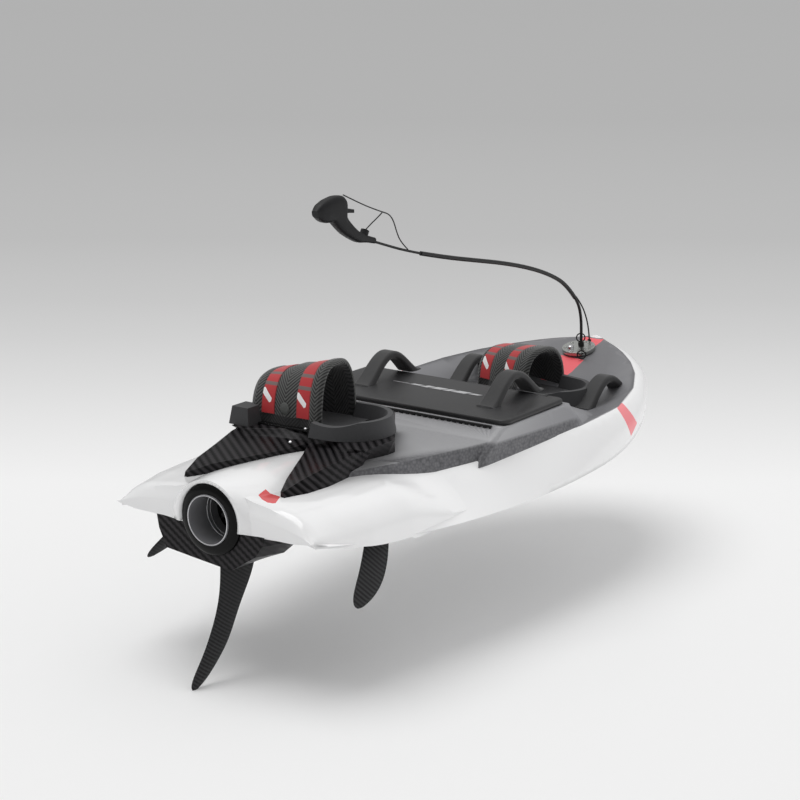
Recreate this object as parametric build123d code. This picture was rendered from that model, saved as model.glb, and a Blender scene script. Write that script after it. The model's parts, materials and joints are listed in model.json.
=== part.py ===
# Electric jet surfboard: hull, deck, jet drive, battery, foot bindings, fins and tether
# Millimetres. X starboard, Y towards the bow, Z up, Z = 0 on the waterline at rest.

import math
import os

from build123d import *

os.makedirs("parts", exist_ok=True)
parts = {}

# Hull lines, one row per station from stern to nose:
# y, sheer half width, sheer z, side bulge, chine half width, chine z, keel z, crown z
STATIONS = [
    (-872, 150, 62, -10, 286, 18, 4, 76),
    (-770, 153, 61, -8, 292, -3, -20, 80),
    (-640, 163, 58, -4, 301, -23, -41, 82),
    (-480, 214, 55, 0, 327, -36, -54, 82),
    (-290, 266, 55, 2, 351, -43, -60, 83),
    (-80, 303, 60, 5, 365, -45, -62, 86),
    (120, 328, 68, 6, 366, -40, -58, 91),
    (300, 332, 80, 7, 358, -20, -42, 100),
    (440, 296, 94, 9, 327, 20, -8, 110),
    (540, 244, 106, 10, 278, 56, 28, 119),
    (612, 190, 115, 9, 234, 79, 53, 126),
    (665, 136, 123, 7, 187, 94, 73, 131),
    (703, 88, 128, 6, 140, 105, 90, 135),
    (730, 50, 130, 4, 98, 112, 101, 136),
    (748, 24, 132, 3, 62, 117, 109, 137),
    (759, 8, 133, 1, 28, 121, 115, 137),
]

# Front deck, one row per hull station: y, floor half width, floor z
FRONT_DECK = [
    (120, 262, 46),
    (300, 250, 46),
    (440, 208, 48),
    (540, 156, 68),
    (612, 112, 97),
    (665, 74, 113),
    (703, 46, 122),
    (730, 24, 127),
    (748, 8, 130.5),
]
SHEER_INSET = 1.5

# White ridge over the jet, one row per section from the outlet's cowl to its tip under the shroud:
# y, crest half width, crest edge z, crest z, flank x, flank z, base half width, base z
COWL_R = 90.0
RIDGE_SOLE = 14.0
RIDGE = [
    (-893, 60, 97, 120, 82.9, 65, 90, 30),
    (-797, 66, 105, 118, 105, 84, 165, 56),
    (-701, 50, 106, 115, 84, 90, 158, 64),
    (-605, 31, 104, 109, 60, 95, 135, 72),
    (-509, 12, 102, 103.5, 40, 96, 110, 80),
]
TONGUE_TIP_Y = -537.0
TONGUE_REAR_Y = -905.0
TONGUE_SLOPE = 0.488

# Shroud arms, one row per section: y, inner z, crest x, crest z, outer x, outer z
ARM_SOLE = 50.0
ARMS = [
    (-536, 122, 184, 142, 150, 92),
    (-600, 108, 174, 138, 160, 88),
    (-675, 98, 160, 126, 166, 84),
    (-750, 91, 150, 113, 162, 76),
    (-806, 80, 138, 96, 146, 66),
]

# Jet housing, outlines in XZ from the outlet forwards
HOUSING = [
    (-880, [(-160, 14), (-154, -18), (-134, -60), (-60, -68), (20, -76), (52, -78), (118, -36), (138, -8), (138, 14)]),
    (-760, [(-150, 14), (-144, -24), (-120, -60), (-60, -78), (10, -82), (44, -84), (102, -60), (126, -30), (134, 14)]),
    (-590, [(-90, 10), (-86, -30), (-70, -50), (-36, -57), (6, -58), (24, -58), (56, -54), (74, -36), (80, 10)]),
]

# Jet drive
JET_Z = 30.0
JET_REAR = -893.0
BORE_R = 54.0
RING_R = 82.0
RING_LENGTH = 34.0
NOZZLE_WALL = 3.0
CONE_LENGTH = 66.0
PUMP_LENGTH = 150.0
PUMP_R = 62.0
PUMP_REAR = JET_REAR + RING_LENGTH + CONE_LENGTH
PUMP_FRONT = PUMP_REAR + PUMP_LENGTH
STATOR_LENGTH = 48.0
HUB_R = 20.0
STATOR_VANES = 6
IMPELLER_LENGTH = 44.0
IMPELLER_BLADES = 4
IMPELLER_GAP = 2.0
BLADE_T = 4.0
SHAFT_R = 7.0
SHAFT_GAP = 1.5
SHAFT_FIT = 0.05
SHAFT_SEAT = 30.0
INTAKE_R = 50.0
INTAKE_ANGLE = 34.0
BEND_LENGTH = 150.0
BEND_DROP = 85.0
INTAKE_RUN = 190.0
GRILLE_BARS = 5
GRILLE_BAR_R = 3.0
MOTOR_R = 36.0
MOTOR_LENGTH = 150.0
MOTOR_REAR = -452.0

# Battery, its well and its lid
LID_FRONT = 102.0
LID_REAR = -169.0
LID_HALF = 297.0
LID_T = 12.0
PLATEAU_Z = 125.0
WELL_MARGIN = 30.0
WELL_FLOOR = -18.0
CASE_GAP = 2.0
SEAL_T = 2.0
LID_CORNER_R = 24.0
LID_EDGE_R = 6.0
LATCH_X = 232.0
LATCH_Y = 90.0
LATCH_LENGTH = 42.0
LATCH_WIDTH = 11.0
LATCH_DEPTH = 5.0

# Vent comb under the lid's rear edge
COMB_X0 = -250.0
COMB_X1 = 262.0
COMB_TEETH = 30
COMB_DEPTH = 12.0
COMB_HEIGHT = 13.0
COMB_BACK = 4.0

# Handles
LID_HANDLE_X = 185.0
LID_HANDLE_Y = 27.0
DECK_HANDLE_X = 200.0
DECK_HANDLE_Y = 452.0
HANDLE_LENGTH = 232.0
HANDLE_WIDTH = 44.0
HANDLE_THICK = 19.0
HANDLE_RISE = 58.0
HANDLE_SINK = 9.0
HANDLE_FOOT_FLARE = 10.0
HANDLE_SECTIONS = 11

# Deck levels
REAR_DECK_Z = 94.0
FRONT_DECK_Z = 46.0
LINER_T = 6.0

# Bindings
PLATFORM_Z = 144.0
BASE_T = 4.0
BASE_RIM = 15.0
BOLT_R = 5.0
FOOT_PAD_T = 5.0
STRAP_T = 13.0
ARCH_CROWN = 0.72
WEB_T = 3.0
WEB_WIDTH = 38.0
WEB_START = 22.0
CUP_H = 42.0
CUP_WALL = 26.0
CUP_DRAFT = 8.0
SCOOP_R = 190.0
SCOOP_DEPTH = 12.0
TOE_AT = (-178.0, -540.0, PLATFORM_Z)
TOE_SIZE = (58.0, 62.0)
TOE_H = 42.0
TOE_DRAFT = 8.0

# x, y, turn, level, tunnel start x and end x, half span, low and high crown z, web x aft and fore,
# cup centre x and y, cup radius, cup start x
BINDINGS = {
    "rear": (-89, -440, 3, PLATFORM_Z, -96, 99, 77, 250, 298, -46, 52, 148, -25, 105, 101),
    "front": (-45, 445, -12, FRONT_DECK_Z, -95, 85, 76, 146, 166, -62, 18, 150, -28, 98, 90),
}

# Bow plate and tether
BOW_PLATE_R = 45.0
BOW_PLATE_T = 5.0
BOW_PLATE_Y = 660.0
BOW_PLATE_Z = 118.0
BOW_TILT = 11.0
BOW_SCREWS = 6
TETHER_R = 5.5
CORD_R = 3.0
SECOND_R = 2.0
LANYARD_R = 1.5
UPPER_ROUTE = [(0, -286, 551), (0, -222, 530), (0, -157, 510), (0, -92, 493)]
SLEEVE_ROUTE = [
    (0, -92, 493),
    (0, 10, 468),
    (0, 138, 441),
    (0, 268, 414),
    (0, 392, 383),
    (0, 502, 347),
    (0, 590, 305),
    (0, 634, 262),
]
TETHER_ROUTE = [(0, 634, 262), (0, 654, 242.5), (0, 668, 205), (0, 672, 170), (0, 672, 132)]
SECOND_ROUTE = [
    (0, 640, 264),
    (0, 672, 236),
    (0, 698, 196),
    (0, 712, 158),
    (0, 716, 132),
]
LANYARD_ROUTE = [
    (0, -400, 674),
    (0, -349, 652),
    (0, -299, 632),
    (0, -250, 615),
    (0, -222, 606),
    (0, -204, 588),
    (0, -191, 558),
    (0, -175, 533),
    (0, -146, 511),
]
STOP_ROUTE = [(0, -250, 613), (0, -272, 602), (0, -296, 592), (0, -315, 582)]

# Fins, one row per level: z, leading y, trailing y
FIN_T = 13.0
CENTRE_FIN = [
    (-56, -706, -858),
    (-116, -744, -858),
    (-170, -777, -868),
    (-216, -806, -887),
    (-262, -835, -914),
    (-300, -872, -943),
    (-326, -906, -960),
    (-342, -938, -958),
]
SIDE_FIN_X = 236.0
SIDE_FIN_T = 10.0
SIDE_FIN_CANT = 0.48
SIDE_FIN = [
    (-16, -556, -640),
    (-46, -574, -668),
    (-76, -596, -700),
    (-104, -624, -734),
    (-128, -660, -760),
    (-144, -702, -764),
    (-150, -732, -756),
]

# Hand control, side outline as (y, z)
GRIP_WIDTH = 34.0
GRIP_TOP = [(-509, 656), (-494, 664), (-470, 673), (-438, 678), (-410, 676), (-397, 664)]
GRIP_FRONT = [(-400, 650), (-403, 632), (-394, 620), (-375, 603), (-352, 585), (-310, 568), (-285, 560)]
GRIP_BACK = [(-283, 545), (-318, 553), (-348, 556), (-390, 576), (-424, 598), (-443, 617), (-474, 619), (-500, 630)]
TRIGGER_WIDTH = 14.0
TRIGGER_OUTLINE = [(-405, 655), (-393, 643), (-367, 637), (-367, 629), (-390, 632), (-414, 629)]
KNOB_AT = (-321, 574)
KNOB_R = 10.0


def save(name, shape, color):
    """Keeps one piece under its name and colour."""
    shape.label = name
    shape.color = Color(*color)
    parts[name] = shape


def largest(shape):
    """The biggest solid of a cut shape."""
    return shape.solids().sort_by(SortBy.VOLUME)[-1]


def even_spline(points):
    """Spline with evenly spaced knots, so that lofted sections share them."""
    last = len(points) - 1
    return Edge.make_spline([Vector(*p) for p in points], parameters=[k / last for k in range(last + 1)])


def station_face(row):
    """Closed section of the hull at one station."""
    y, sheer, sheer_z, bulge, chine, chine_z, keel_z, crown_z = row
    mid_x = (sheer + chine) / 2 + bulge
    mid_z = (sheer_z + chine_z) / 2 + bulge * 0.4
    top = ThreePointArc((-sheer, y, sheer_z), (0, y, crown_z), (sheer, y, sheer_z))
    side = [(sheer, sheer_z), (mid_x, mid_z), (chine, chine_z)]
    starboard = even_spline([(x, y, z) for x, z in side])
    bottom = ThreePointArc((chine, y, chine_z), (0, y, keel_z), (-chine, y, chine_z))
    port = even_spline([(-x, y, z) for x, z in reversed(side)])
    return Face(Wire([top, starboard, bottom, port]))


def ridge_face(row):
    """Closed section of the white ridge: crown arc, two hollow flanks and a flat sole."""
    y, crest, crest_edge_z, crest_z, flank, flank_z, base, base_z = row
    crown = ThreePointArc((-crest, y, crest_edge_z), (0, y, crest_z), (crest, y, crest_edge_z))
    starboard = ThreePointArc((crest, y, crest_edge_z), (flank, y, flank_z), (base, y, base_z))
    port = ThreePointArc((-base, y, base_z), (-flank, y, flank_z), (-crest, y, crest_edge_z))
    sole = Polyline((base, y, base_z), (base, y, RIDGE_SOLE), (-base, y, RIDGE_SOLE), (-base, y, base_z))
    return Face(Wire([crown, starboard, *sole.edges(), port]))


def prism(points, z0, z1):
    """Upright block on a plan outline."""
    wire = Wire(Polyline(*[(x, y, z0) for x, y in points], close=True).edges())
    return extrude(Face(wire), z1 - z0, dir=(0, 0, 1))


def section_loft(stations):
    """Straight sided body through outlines in XZ, one per Y."""
    faces = []
    for y, outline in stations:
        faces.append(Face(Wire(Polyline(*[(x, y, z) for x, z in outline], close=True).edges())))
    return loft(faces, ruled=True)


def frustum(low, low_z, high, high_z):
    """Straight sided block between two plan outlines with as many corners."""
    wires = [
        Polyline(*[(x, y, low_z) for x, y in low], close=True),
        Polyline(*[(x, y, high_z) for x, y in high], close=True),
    ]
    return loft([Face(Wire(w.edges())) for w in wires], ruled=True)


def box(x0, x1, y0, y1, z0, z1):
    """Block between two corners."""
    middle = Pos((x0 + x1) / 2, (y0 + y1) / 2, (z0 + z1) / 2)
    return middle * Box(x1 - x0, y1 - y0, z1 - z0)


def rod_y(radius, y0, y1, x=0.0, z=JET_Z):
    """Round bar along Y."""
    return Pos(x, (y0 + y1) / 2, z) * Rot(90, 0, 0) * Cylinder(radius, abs(y1 - y0))


def mirrored(points):
    """Closes a starboard half outline with its port half."""
    return points + [(-x, y) for x, y in reversed(points) if abs(x) > 1e-6]


def arch_curve(x, y_mid, half, base_z, rise, crown):
    """Open arch in the YZ plane, square at its feet and round at its crown."""
    return Spline(
        (x, y_mid - half, base_z),
        (x, y_mid - half * crown, base_z + rise * 0.82),
        (x, y_mid, base_z + rise),
        (x, y_mid + half * crown, base_z + rise * 0.82),
        (x, y_mid + half, base_z),
        tangents=[(0, 0.25, 1), (0, 0.25, -1)],
    )


def side_band(y_mid, base_z, length, top_z, thick, x0, x1, foot=0.0, crown=0.62):
    """Arched band in the YZ plane, extruded from x0 to x1."""
    outer = arch_curve(x0, y_mid, length / 2, base_z, top_z - base_z, crown)
    inner = arch_curve(x0, y_mid, length / 2 - thick - foot, base_z, top_z - base_z - thick, crown)
    rear = Line(outer @ 0, inner @ 0)
    front = Line(inner @ 1, outer @ 1)
    face = Face(Wire([outer, front, inner, rear]))
    return extrude(face, x1 - x0, dir=(1, 0, 0))


def cord(points, radius):
    """Tube along straight runs joined by arcs as large as the runs allow."""
    pts = [Vector(*p) for p in points]
    radii = []
    for before, here, after in zip(pts, pts[1:], pts[2:]):
        half_turn = math.radians((here - before).get_angle(after - here)) / 2
        run = min((here - before).length, (after - here).length)
        radii.append(0.45 * run / math.tan(half_turn))
    route = FilletPolyline(*pts, radius=radii)
    start = Plane(origin=route @ 0, z_dir=route % 0)
    tube = sweep(start * Circle(radius), path=route)
    expected = math.pi * radius**2 * route.length
    print(f"cord r {radius}: length {route.length:.0f}, volume ratio {tube.volume / expected:.4f},")
    print("    radii", [round(r) for r in radii])
    return tube


# Hull blank with the white ridge that covers the jet
hull_blank = loft([station_face(row) for row in STATIONS])
ridge = loft([ridge_face(row) for row in RIDGE])
hull = hull_blank + ridge

# Duct: pump tunnel, then a bend down to the intake in the hull's underside
bend_start = PUMP_FRONT
bend_end = (0, PUMP_FRONT + BEND_LENGTH, JET_Z - BEND_DROP)
duct_path = Wire(
    [
        Line((0, bend_start - 20, JET_Z), (0, bend_start, JET_Z)),
        Spline(
            (0, bend_start, JET_Z),
            bend_end,
            tangents=[
                (0, 1, 0),
                (0, math.cos(math.radians(INTAKE_ANGLE)), -math.sin(math.radians(INTAKE_ANGLE))),
            ],
        ),
    ]
)
mouth = Plane((0, bend_start - 20, JET_Z), x_dir=(1, 0, 0), z_dir=(0, 1, 0)) * Circle(INTAKE_R)
bend = sweep(mouth, path=duct_path)
slope = Plane(
    bend_end,
    x_dir=(1, 0, 0),
    z_dir=(0, math.cos(math.radians(INTAKE_ANGLE)), -math.sin(math.radians(INTAKE_ANGLE))),
)
duct_run = extrude(slope * Circle(INTAKE_R), INTAKE_RUN)
pump_tunnel = rod_y(PUMP_R, JET_REAR, PUMP_FRONT)
shaft_tunnel = rod_y(SHAFT_R + SHAFT_GAP, PUMP_FRONT - 10, MOTOR_REAR)
duct = pump_tunnel + bend + duct_run

# Battery well and motor bay
well_front = LID_FRONT - WELL_MARGIN
well_rear = LID_REAR + WELL_MARGIN
well_half = LID_HALF - WELL_MARGIN
well = box(-well_half, well_half, well_rear, well_front, WELL_FLOOR, 200)
motor_bay = rod_y(MOTOR_R, MOTOR_REAR, MOTOR_REAR + MOTOR_LENGTH)

# Front deck: a hollow between the sheer lines, with a grey liner in it
def front_hollow(drop, inset):
    """Space over the front deck, its floor lowered by drop and its edge moved in by inset."""
    sheer = {row[0]: (row[1], row[2]) for row in STATIONS}
    faces = []
    for y, floor_half, floor_z in FRONT_DECK:
        half, edge_z = sheer[y]
        half = half - inset
        z = floor_z - drop
        bank = [(half, y, edge_z), (half * 0.4 + floor_half * 0.6, y, edge_z * 0.25 + z * 0.75)]
        starboard = even_spline([*bank, (floor_half, y, z)])
        port = even_spline([(-x, y, up) for x, y, up in reversed([*bank, (floor_half, y, z)])])
        floor = [starboard, Line((floor_half, y, z), (-floor_half, y, z)), port]
        lid = Polyline((-half, y, edge_z), (-half, y, 220), (half, y, 220), (half, y, edge_z))
        faces.append(Face(Wire(floor + list(lid.edges()))))
    return loft(faces, ruled=True)


recess = front_hollow(LINER_T, SHEER_INSET)
liner_gap = front_hollow(0, SHEER_INSET + 2)

# Grey deck: low rear deck, plateau round the battery lid, liner of the front hollow
rear_block = frustum(
    mirrored([(152, -700), (160, -655), (226, -452), (296, -150)]),
    40,
    mirrored([(120, -650), (140, -640), (206, -470), (286, -150)]),
    REAR_DECK_Z,
)
plateau = frustum(
    mirrored([(284, -262), (322, 20), (336, 150), (262, 320)]),
    45,
    mirrored(
        [
            (LID_HALF + 2, -172),
            (LID_HALF + 4, 20),
            (LID_HALF + 4, LID_FRONT + 6),
            (230, LID_FRONT + 12),
        ]
    ),
    PLATEAU_Z,
)
liner = (recess - liner_gap) & hull_blank
ring_front = JET_REAR + RING_LENGTH
ring_space = rod_y(RING_R, JET_REAR - 5, ring_front)
hull = hull - duct - ring_space - shaft_tunnel - motor_bay - well - recess
deck = (rear_block + plateau + liner) - hull - well - duct - motor_bay - ridge
save("hull", hull, (0.93, 0.93, 0.93))

# Carbon shroud over the tail: a platform under the rear binding and two arms along the white ridge
platform = frustum(
    mirrored([(0, -545), (70, -606), (130, -618), (112, -530), (140, -430), (146, -404), (116, -256)]),
    PLATFORM_Z - 58,
    mirrored([(0, -512), (60, -524), (150, -585), (192, -580), (188, -462), (152, -385), (112, -262)]),
    PLATFORM_Z,
)
arm_sections = []
for y, inner_z, crest, crest_z, outer, outer_z in ARMS:
    outline = [(0, ARM_SOLE), (0, inner_z), (crest, crest_z), (outer, outer_z), (outer, ARM_SOLE)]
    arm_sections.append((y, outline))
arm = section_loft(arm_sections)
tongue_rear = (TONGUE_SLOPE * (TONGUE_TIP_Y - TONGUE_REAR_Y), TONGUE_REAR_Y)
arm = arm - prism([(0, TONGUE_TIP_Y), tongue_rear, (0, TONGUE_REAR_Y)], 0, 300)
shroud = platform + arm + mirror(arm, Plane.YZ)
shroud = largest(shroud - deck - hull)
save("tail_shroud", shroud, (0.09, 0.09, 0.10))

# Carbon housing of the jet under the stern, and the ride plate on its starboard flank
housing = section_loft(HOUSING)
housing = largest(housing - hull - pump_tunnel - ring_space - duct)
save("jet_housing", housing, (0.09, 0.09, 0.10))

# Jet: outlet ring, nozzle, stator, impeller, shaft, motor and intake grille
ring = rod_y(RING_R, JET_REAR, ring_front) - rod_y(BORE_R + NOZZLE_WALL, JET_REAR - 1, ring_front + 1)
save("nozzle_ring", ring, (0.04, 0.04, 0.04))

nozzle_front = PUMP_REAR
nozzle = rod_y(BORE_R + NOZZLE_WALL, JET_REAR - 3, ring_front)
cone = Solid.make_cone(PUMP_R, BORE_R + NOZZLE_WALL, nozzle_front - ring_front)
cone = Pos(0, nozzle_front, JET_Z) * Rot(90, 0, 0) * cone
cone_bore = Solid.make_cone(PUMP_R - NOZZLE_WALL, BORE_R, nozzle_front - ring_front)
cone_bore = Pos(0, nozzle_front, JET_Z) * Rot(90, 0, 0) * cone_bore
nozzle = nozzle + cone - cone_bore - rod_y(BORE_R, JET_REAR - 5, ring_front)
save("jet_nozzle", nozzle, (0.20, 0.20, 0.21))

stator_front = PUMP_REAR + STATOR_LENGTH
stator = rod_y(PUMP_R, PUMP_REAR, stator_front) - rod_y(PUMP_R - NOZZLE_WALL, PUMP_REAR - 1, stator_front + 1)
stator = stator + rod_y(HUB_R, PUMP_REAR, stator_front)
tail_cone = Solid.make_cone(HUB_R, 5, 50)
stator = stator + Pos(0, PUMP_REAR, JET_Z) * Rot(90, 0, 0) * tail_cone
for k in range(STATOR_VANES):
    vane = Box(3.0, STATOR_LENGTH * 0.8, PUMP_R - HUB_R + 2)
    vane = Pos(0, 0, (PUMP_R + HUB_R) / 2 - 1) * vane
    vane = Pos(0, (PUMP_REAR + stator_front) / 2, JET_Z) * Rot(0, 360 * k / STATOR_VANES, 0) * vane
    stator = stator + vane
shaft_rear = stator_front - SHAFT_SEAT
stator = stator - rod_y(SHAFT_R + SHAFT_FIT, shaft_rear - SHAFT_FIT, stator_front + 1)
save("pump_stator", stator, (0.35, 0.35, 0.36))

impeller_rear = stator_front + IMPELLER_GAP
impeller_front = impeller_rear + IMPELLER_LENGTH
impeller = rod_y(HUB_R, impeller_rear, impeller_front)
blade_r = PUMP_R - IMPELLER_GAP
for k in range(IMPELLER_BLADES):
    blade = Pos(0, 0, (blade_r + HUB_R - 2) / 2) * Box(BLADE_T, IMPELLER_LENGTH * 1.1, blade_r - HUB_R + 2)
    blade = Rot(0, 0, 48) * blade
    blade = Pos(0, (impeller_rear + impeller_front) / 2, JET_Z) * Rot(0, 360 * k / IMPELLER_BLADES, 0) * blade
    impeller = impeller + blade
impeller = impeller & rod_y(blade_r, impeller_rear, impeller_front)
impeller = impeller - rod_y(SHAFT_R, impeller_rear - 1, impeller_front + 1)
save("impeller", impeller, (0.45, 0.45, 0.47))

shaft = rod_y(SHAFT_R, shaft_rear, MOTOR_REAR - IMPELLER_GAP)
save("drive_shaft", shaft, (0.62, 0.62, 0.64))

motor = motor_bay
save("motor", motor, (0.25, 0.25, 0.27))

bars = None
for k in range(GRILLE_BARS):
    x = (k - (GRILLE_BARS - 1) / 2) * 2 * INTAKE_R / (GRILLE_BARS + 1)
    bar = Pos(x, 0, 0) * Box(2 * GRILLE_BAR_R, 400, 5)
    bars = bar if bars is None else bars + bar
for y in (-70, 0, 70):
    bars = bars + Pos(0, y, 0) * Box(2 * INTAKE_R + 10, 2 * GRILLE_BAR_R, 5)
grille_plane = Pos(0, -560, -50) * Rot(-4, 0, 0)
bars = (grille_plane * bars) & (duct_run + bend)
save("intake_grille", bars, (0.20, 0.20, 0.21))

# Battery: case in its well, lid on the plateau, two lift handles
case = box(
    -well_half + CASE_GAP,
    well_half - CASE_GAP,
    well_rear + CASE_GAP,
    well_front - CASE_GAP,
    WELL_FLOOR,
    PLATEAU_Z + SEAL_T,
)
save("battery_case", case, (0.10, 0.10, 0.11))
lid = box(-LID_HALF, LID_HALF, LID_REAR, LID_FRONT, PLATEAU_Z + SEAL_T, PLATEAU_Z + SEAL_T + LID_T)
lid = fillet(lid.edges().filter_by(Axis.Z), LID_CORNER_R)
lid = fillet(lid.faces().sort_by(Axis.Z)[-1].edges(), LID_EDGE_R)
latch_place = Pos(LATCH_X, LATCH_Y, PLATEAU_Z + SEAL_T + LID_T)
lid = lid - latch_place * Box(LATCH_LENGTH, LATCH_WIDTH, 2 * LATCH_DEPTH)
save("battery_lid", lid, (0.07, 0.07, 0.075))
LID_TOP = PLATEAU_Z + SEAL_T + LID_T
seal = box(-LID_HALF + 6, LID_HALF - 6, LID_REAR + 6, LID_FRONT - 6, PLATEAU_Z + 0.3, PLATEAU_Z + SEAL_T)
seal = seal - case
save("lid_seal", seal, (0.03, 0.03, 0.03))

# Vent comb on the sloping wall behind the lid
comb_top = PLATEAU_Z - 1.0
comb_rear = LID_REAR - COMB_DEPTH
comb = box(COMB_X0, COMB_X1, comb_rear, LID_REAR + COMB_BACK, comb_top - COMB_HEIGHT, comb_top)
pitch = (COMB_X1 - COMB_X0) / COMB_TEETH
slots = [
    box(COMB_X0 + (k + 0.3) * pitch, COMB_X0 + (k + 0.7) * pitch, comb_rear - 1, LID_REAR - 4, 0, comb_top - 3)
    for k in range(COMB_TEETH)
]
comb = largest(comb - slots - hull - case)
deck = deck - comb
save("vent_comb", comb, (0.05, 0.05, 0.05))


def handle(x, y, base_z, rise):
    """Carry loop along Y: soft oblong sections along a bell curve, wider and flatter at its feet."""
    sections = []
    for k in range(HANDLE_SECTIONS):
        t = 2 * k / (HANDLE_SECTIONS - 1) - 1
        bell = (1 - t * t) ** 2
        slope = -4 * t * (1 - t * t) * rise / (HANDLE_LENGTH / 2)
        width = HANDLE_WIDTH + HANDLE_FOOT_FLARE * t * t
        thick = HANDLE_THICK + 6 * t * t
        spot = (x, y + t * HANDLE_LENGTH / 2, base_z - HANDLE_SINK + bell * (rise + HANDLE_SINK))
        plane = Plane(spot, x_dir=(1, 0, 0), z_dir=(0, 1, slope))
        sections.append(plane * RectangleRounded(width, thick, thick * 0.42))
    return loft(sections)


for side, sign in (("port", -1), ("starboard", 1)):
    loop = handle(sign * LID_HANDLE_X, LID_HANDLE_Y, LID_TOP, HANDLE_RISE)
    save(f"lid_handle_{side}", largest(loop - box(-400, 400, -400, 400, 0, LID_TOP)), (0.05, 0.05, 0.05))
for side, sign in (("port", -1), ("starboard", 1)):
    loop = handle(sign * DECK_HANDLE_X, DECK_HANDLE_Y, FRONT_DECK_Z, HANDLE_RISE)
    save(f"deck_handle_{side}", largest(loop - deck - hull), (0.05, 0.05, 0.05))


# Bindings: base plate, foot pad, arched strap pad, two webs, heel cup and toe block
def side_face(x, base_z, span, top_z, thick):
    """Arch outline in the YZ plane, its two feet on one level."""
    outer = arch_curve(x, 0, span / 2, base_z, top_z - base_z, ARCH_CROWN)
    inner = arch_curve(x, 0, span / 2 - thick, base_z, top_z - base_z - thick, ARCH_CROWN)
    rear = Line(outer @ 0, inner @ 0)
    front = Line(inner @ 1, outer @ 1)
    return Face(Wire([outer, front, inner, rear]))


def cup_face(x0, centre, radius, z):
    """D outline with its round end to starboard."""
    h = radius
    straight = Polyline((centre, h, z), (x0, h, z), (x0, -h, z), (centre, -h, z))
    return Face(Wire([*straight.edges(), ThreePointArc((centre, -h, z), (centre + h, 0, z), (centre, h, z))]))


def binding(name, row):
    """One foot binding, its tunnel along X before it is turned."""
    x, y, turn, level, x0, x1, half, low, high, web_aft, web_fore, cup_x, cup_y, cup_r, cup_start = row
    place = Pos(x, y, 0) * Rot(0, 0, turn)
    floor = level + BASE_T
    plate = box(x0 + 6, x1 - 4, -half - BASE_RIM, half + BASE_RIM, level, floor)
    for bolt in (-1, 1):
        for off in (x0 + 24, x1 - 34):
            plate = plate + Pos(off, bolt * (half + BASE_RIM / 2 + 1), floor + 1) * Cylinder(BOLT_R, 2)
    plate = place * plate
    cup = loft(
        [
            cup_face(cup_start, cup_x, cup_r, level),
            cup_face(cup_start + 6, cup_x, cup_r - CUP_DRAFT, level + CUP_H),
        ]
    )
    hollow = loft(
        [
            cup_face(cup_start - 60, cup_x, cup_r - CUP_WALL - 4, level - 1),
            cup_face(cup_start - 60, cup_x, cup_r - CUP_WALL + 6, level + CUP_H + 1),
        ]
    )
    scoop = Pos(cup_x, cup_y - cup_r, level + CUP_H + SCOOP_R - SCOOP_DEPTH) * Rot(90, 0, 0) * Cylinder(SCOOP_R, 120)
    cup = place * (Pos(0, cup_y, 0) * (cup - hollow) - scoop) - plate
    pad = box(x0 + 8, cup_x, -half + STRAP_T + 4, half - STRAP_T - 4, floor, floor + FOOT_PAD_T)
    pad = largest((place * pad) - cup - hull - deck)
    save(f"{name}_foot_pad", pad, (0.16, 0.16, 0.17))
    ends = [side_face(x0, floor, 2 * half, low, STRAP_T), side_face(x1, floor, 2 * half, high, STRAP_T)]
    arch = loft(ends, ruled=True)
    arch = (place * arch) - cup
    save(f"{name}_strap_pad", largest(arch - deck - hull), (0.12, 0.12, 0.12))
    for label, off in (("aft", web_aft), ("fore", web_fore)):
        ends = []
        for web_x in (off - WEB_WIDTH / 2, off + WEB_WIDTH / 2):
            top = low + (high - low) * (web_x - x0) / (x1 - x0) + WEB_T
            ends.append(side_face(web_x, floor, 2 * half + 2 * WEB_T, top, WEB_T))
        web = loft(ends, ruled=True) & box(-400, 400, -400, 400, floor + WEB_START, 900)
        web = (place * web) - arch - cup
        save(f"{name}_strap_{label}", largest(web), (0.62, 0.08, 0.09))
    cup = cup - deck - hull - arch - parts["deck_handle_starboard"]
    save(f"{name}_heel_block", largest(cup), (0.14, 0.14, 0.145))
    save(f"{name}_binding_plate", largest(plate - deck - hull - cup), (0.05, 0.05, 0.05))


for name, row in BINDINGS.items():
    binding(name, row)
toe = Pos(*TOE_AT) * extrude(Rectangle(*TOE_SIZE), TOE_H, taper=TOE_DRAFT)
save("rear_toe_block", toe - parts["rear_binding_plate"] - parts["rear_strap_pad"], (0.14, 0.14, 0.145))

# Bow plate with its screws, swivel post, cord eye and tether rings
plate_place = Pos(0, BOW_PLATE_Y, BOW_PLATE_Z) * Rot(BOW_TILT, 0, 0)
plate = plate_place * Cylinder(BOW_PLATE_R, 2 * BOW_PLATE_T)
for k in range(BOW_SCREWS):
    turn = math.radians(30 + 360 * k / BOW_SCREWS)
    at = Pos((BOW_PLATE_R - 9) * math.cos(turn), (BOW_PLATE_R - 9) * math.sin(turn), BOW_PLATE_T)
    plate = plate + plate_place * at * Cylinder(4.5, 4)
post = Pos(*TETHER_ROUTE[-1]) * Cylinder(8, 16, align=(Align.CENTER, Align.CENTER, Align.MAX))
post = (post - plate).solids().sort_by(Axis.Z)[-1]
eye = Pos(*SECOND_ROUTE[-1]) * Cylinder(5, 12, align=(Align.CENTER, Align.CENTER, Align.MAX))
deck = deck - plate
second_cord = cord(SECOND_ROUTE, SECOND_R)
eye = (eye - plate - deck - second_cord).solids().sort_by(Axis.Z)[-1]
save("deck_moulding", deck, (0.56, 0.56, 0.57))

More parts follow.
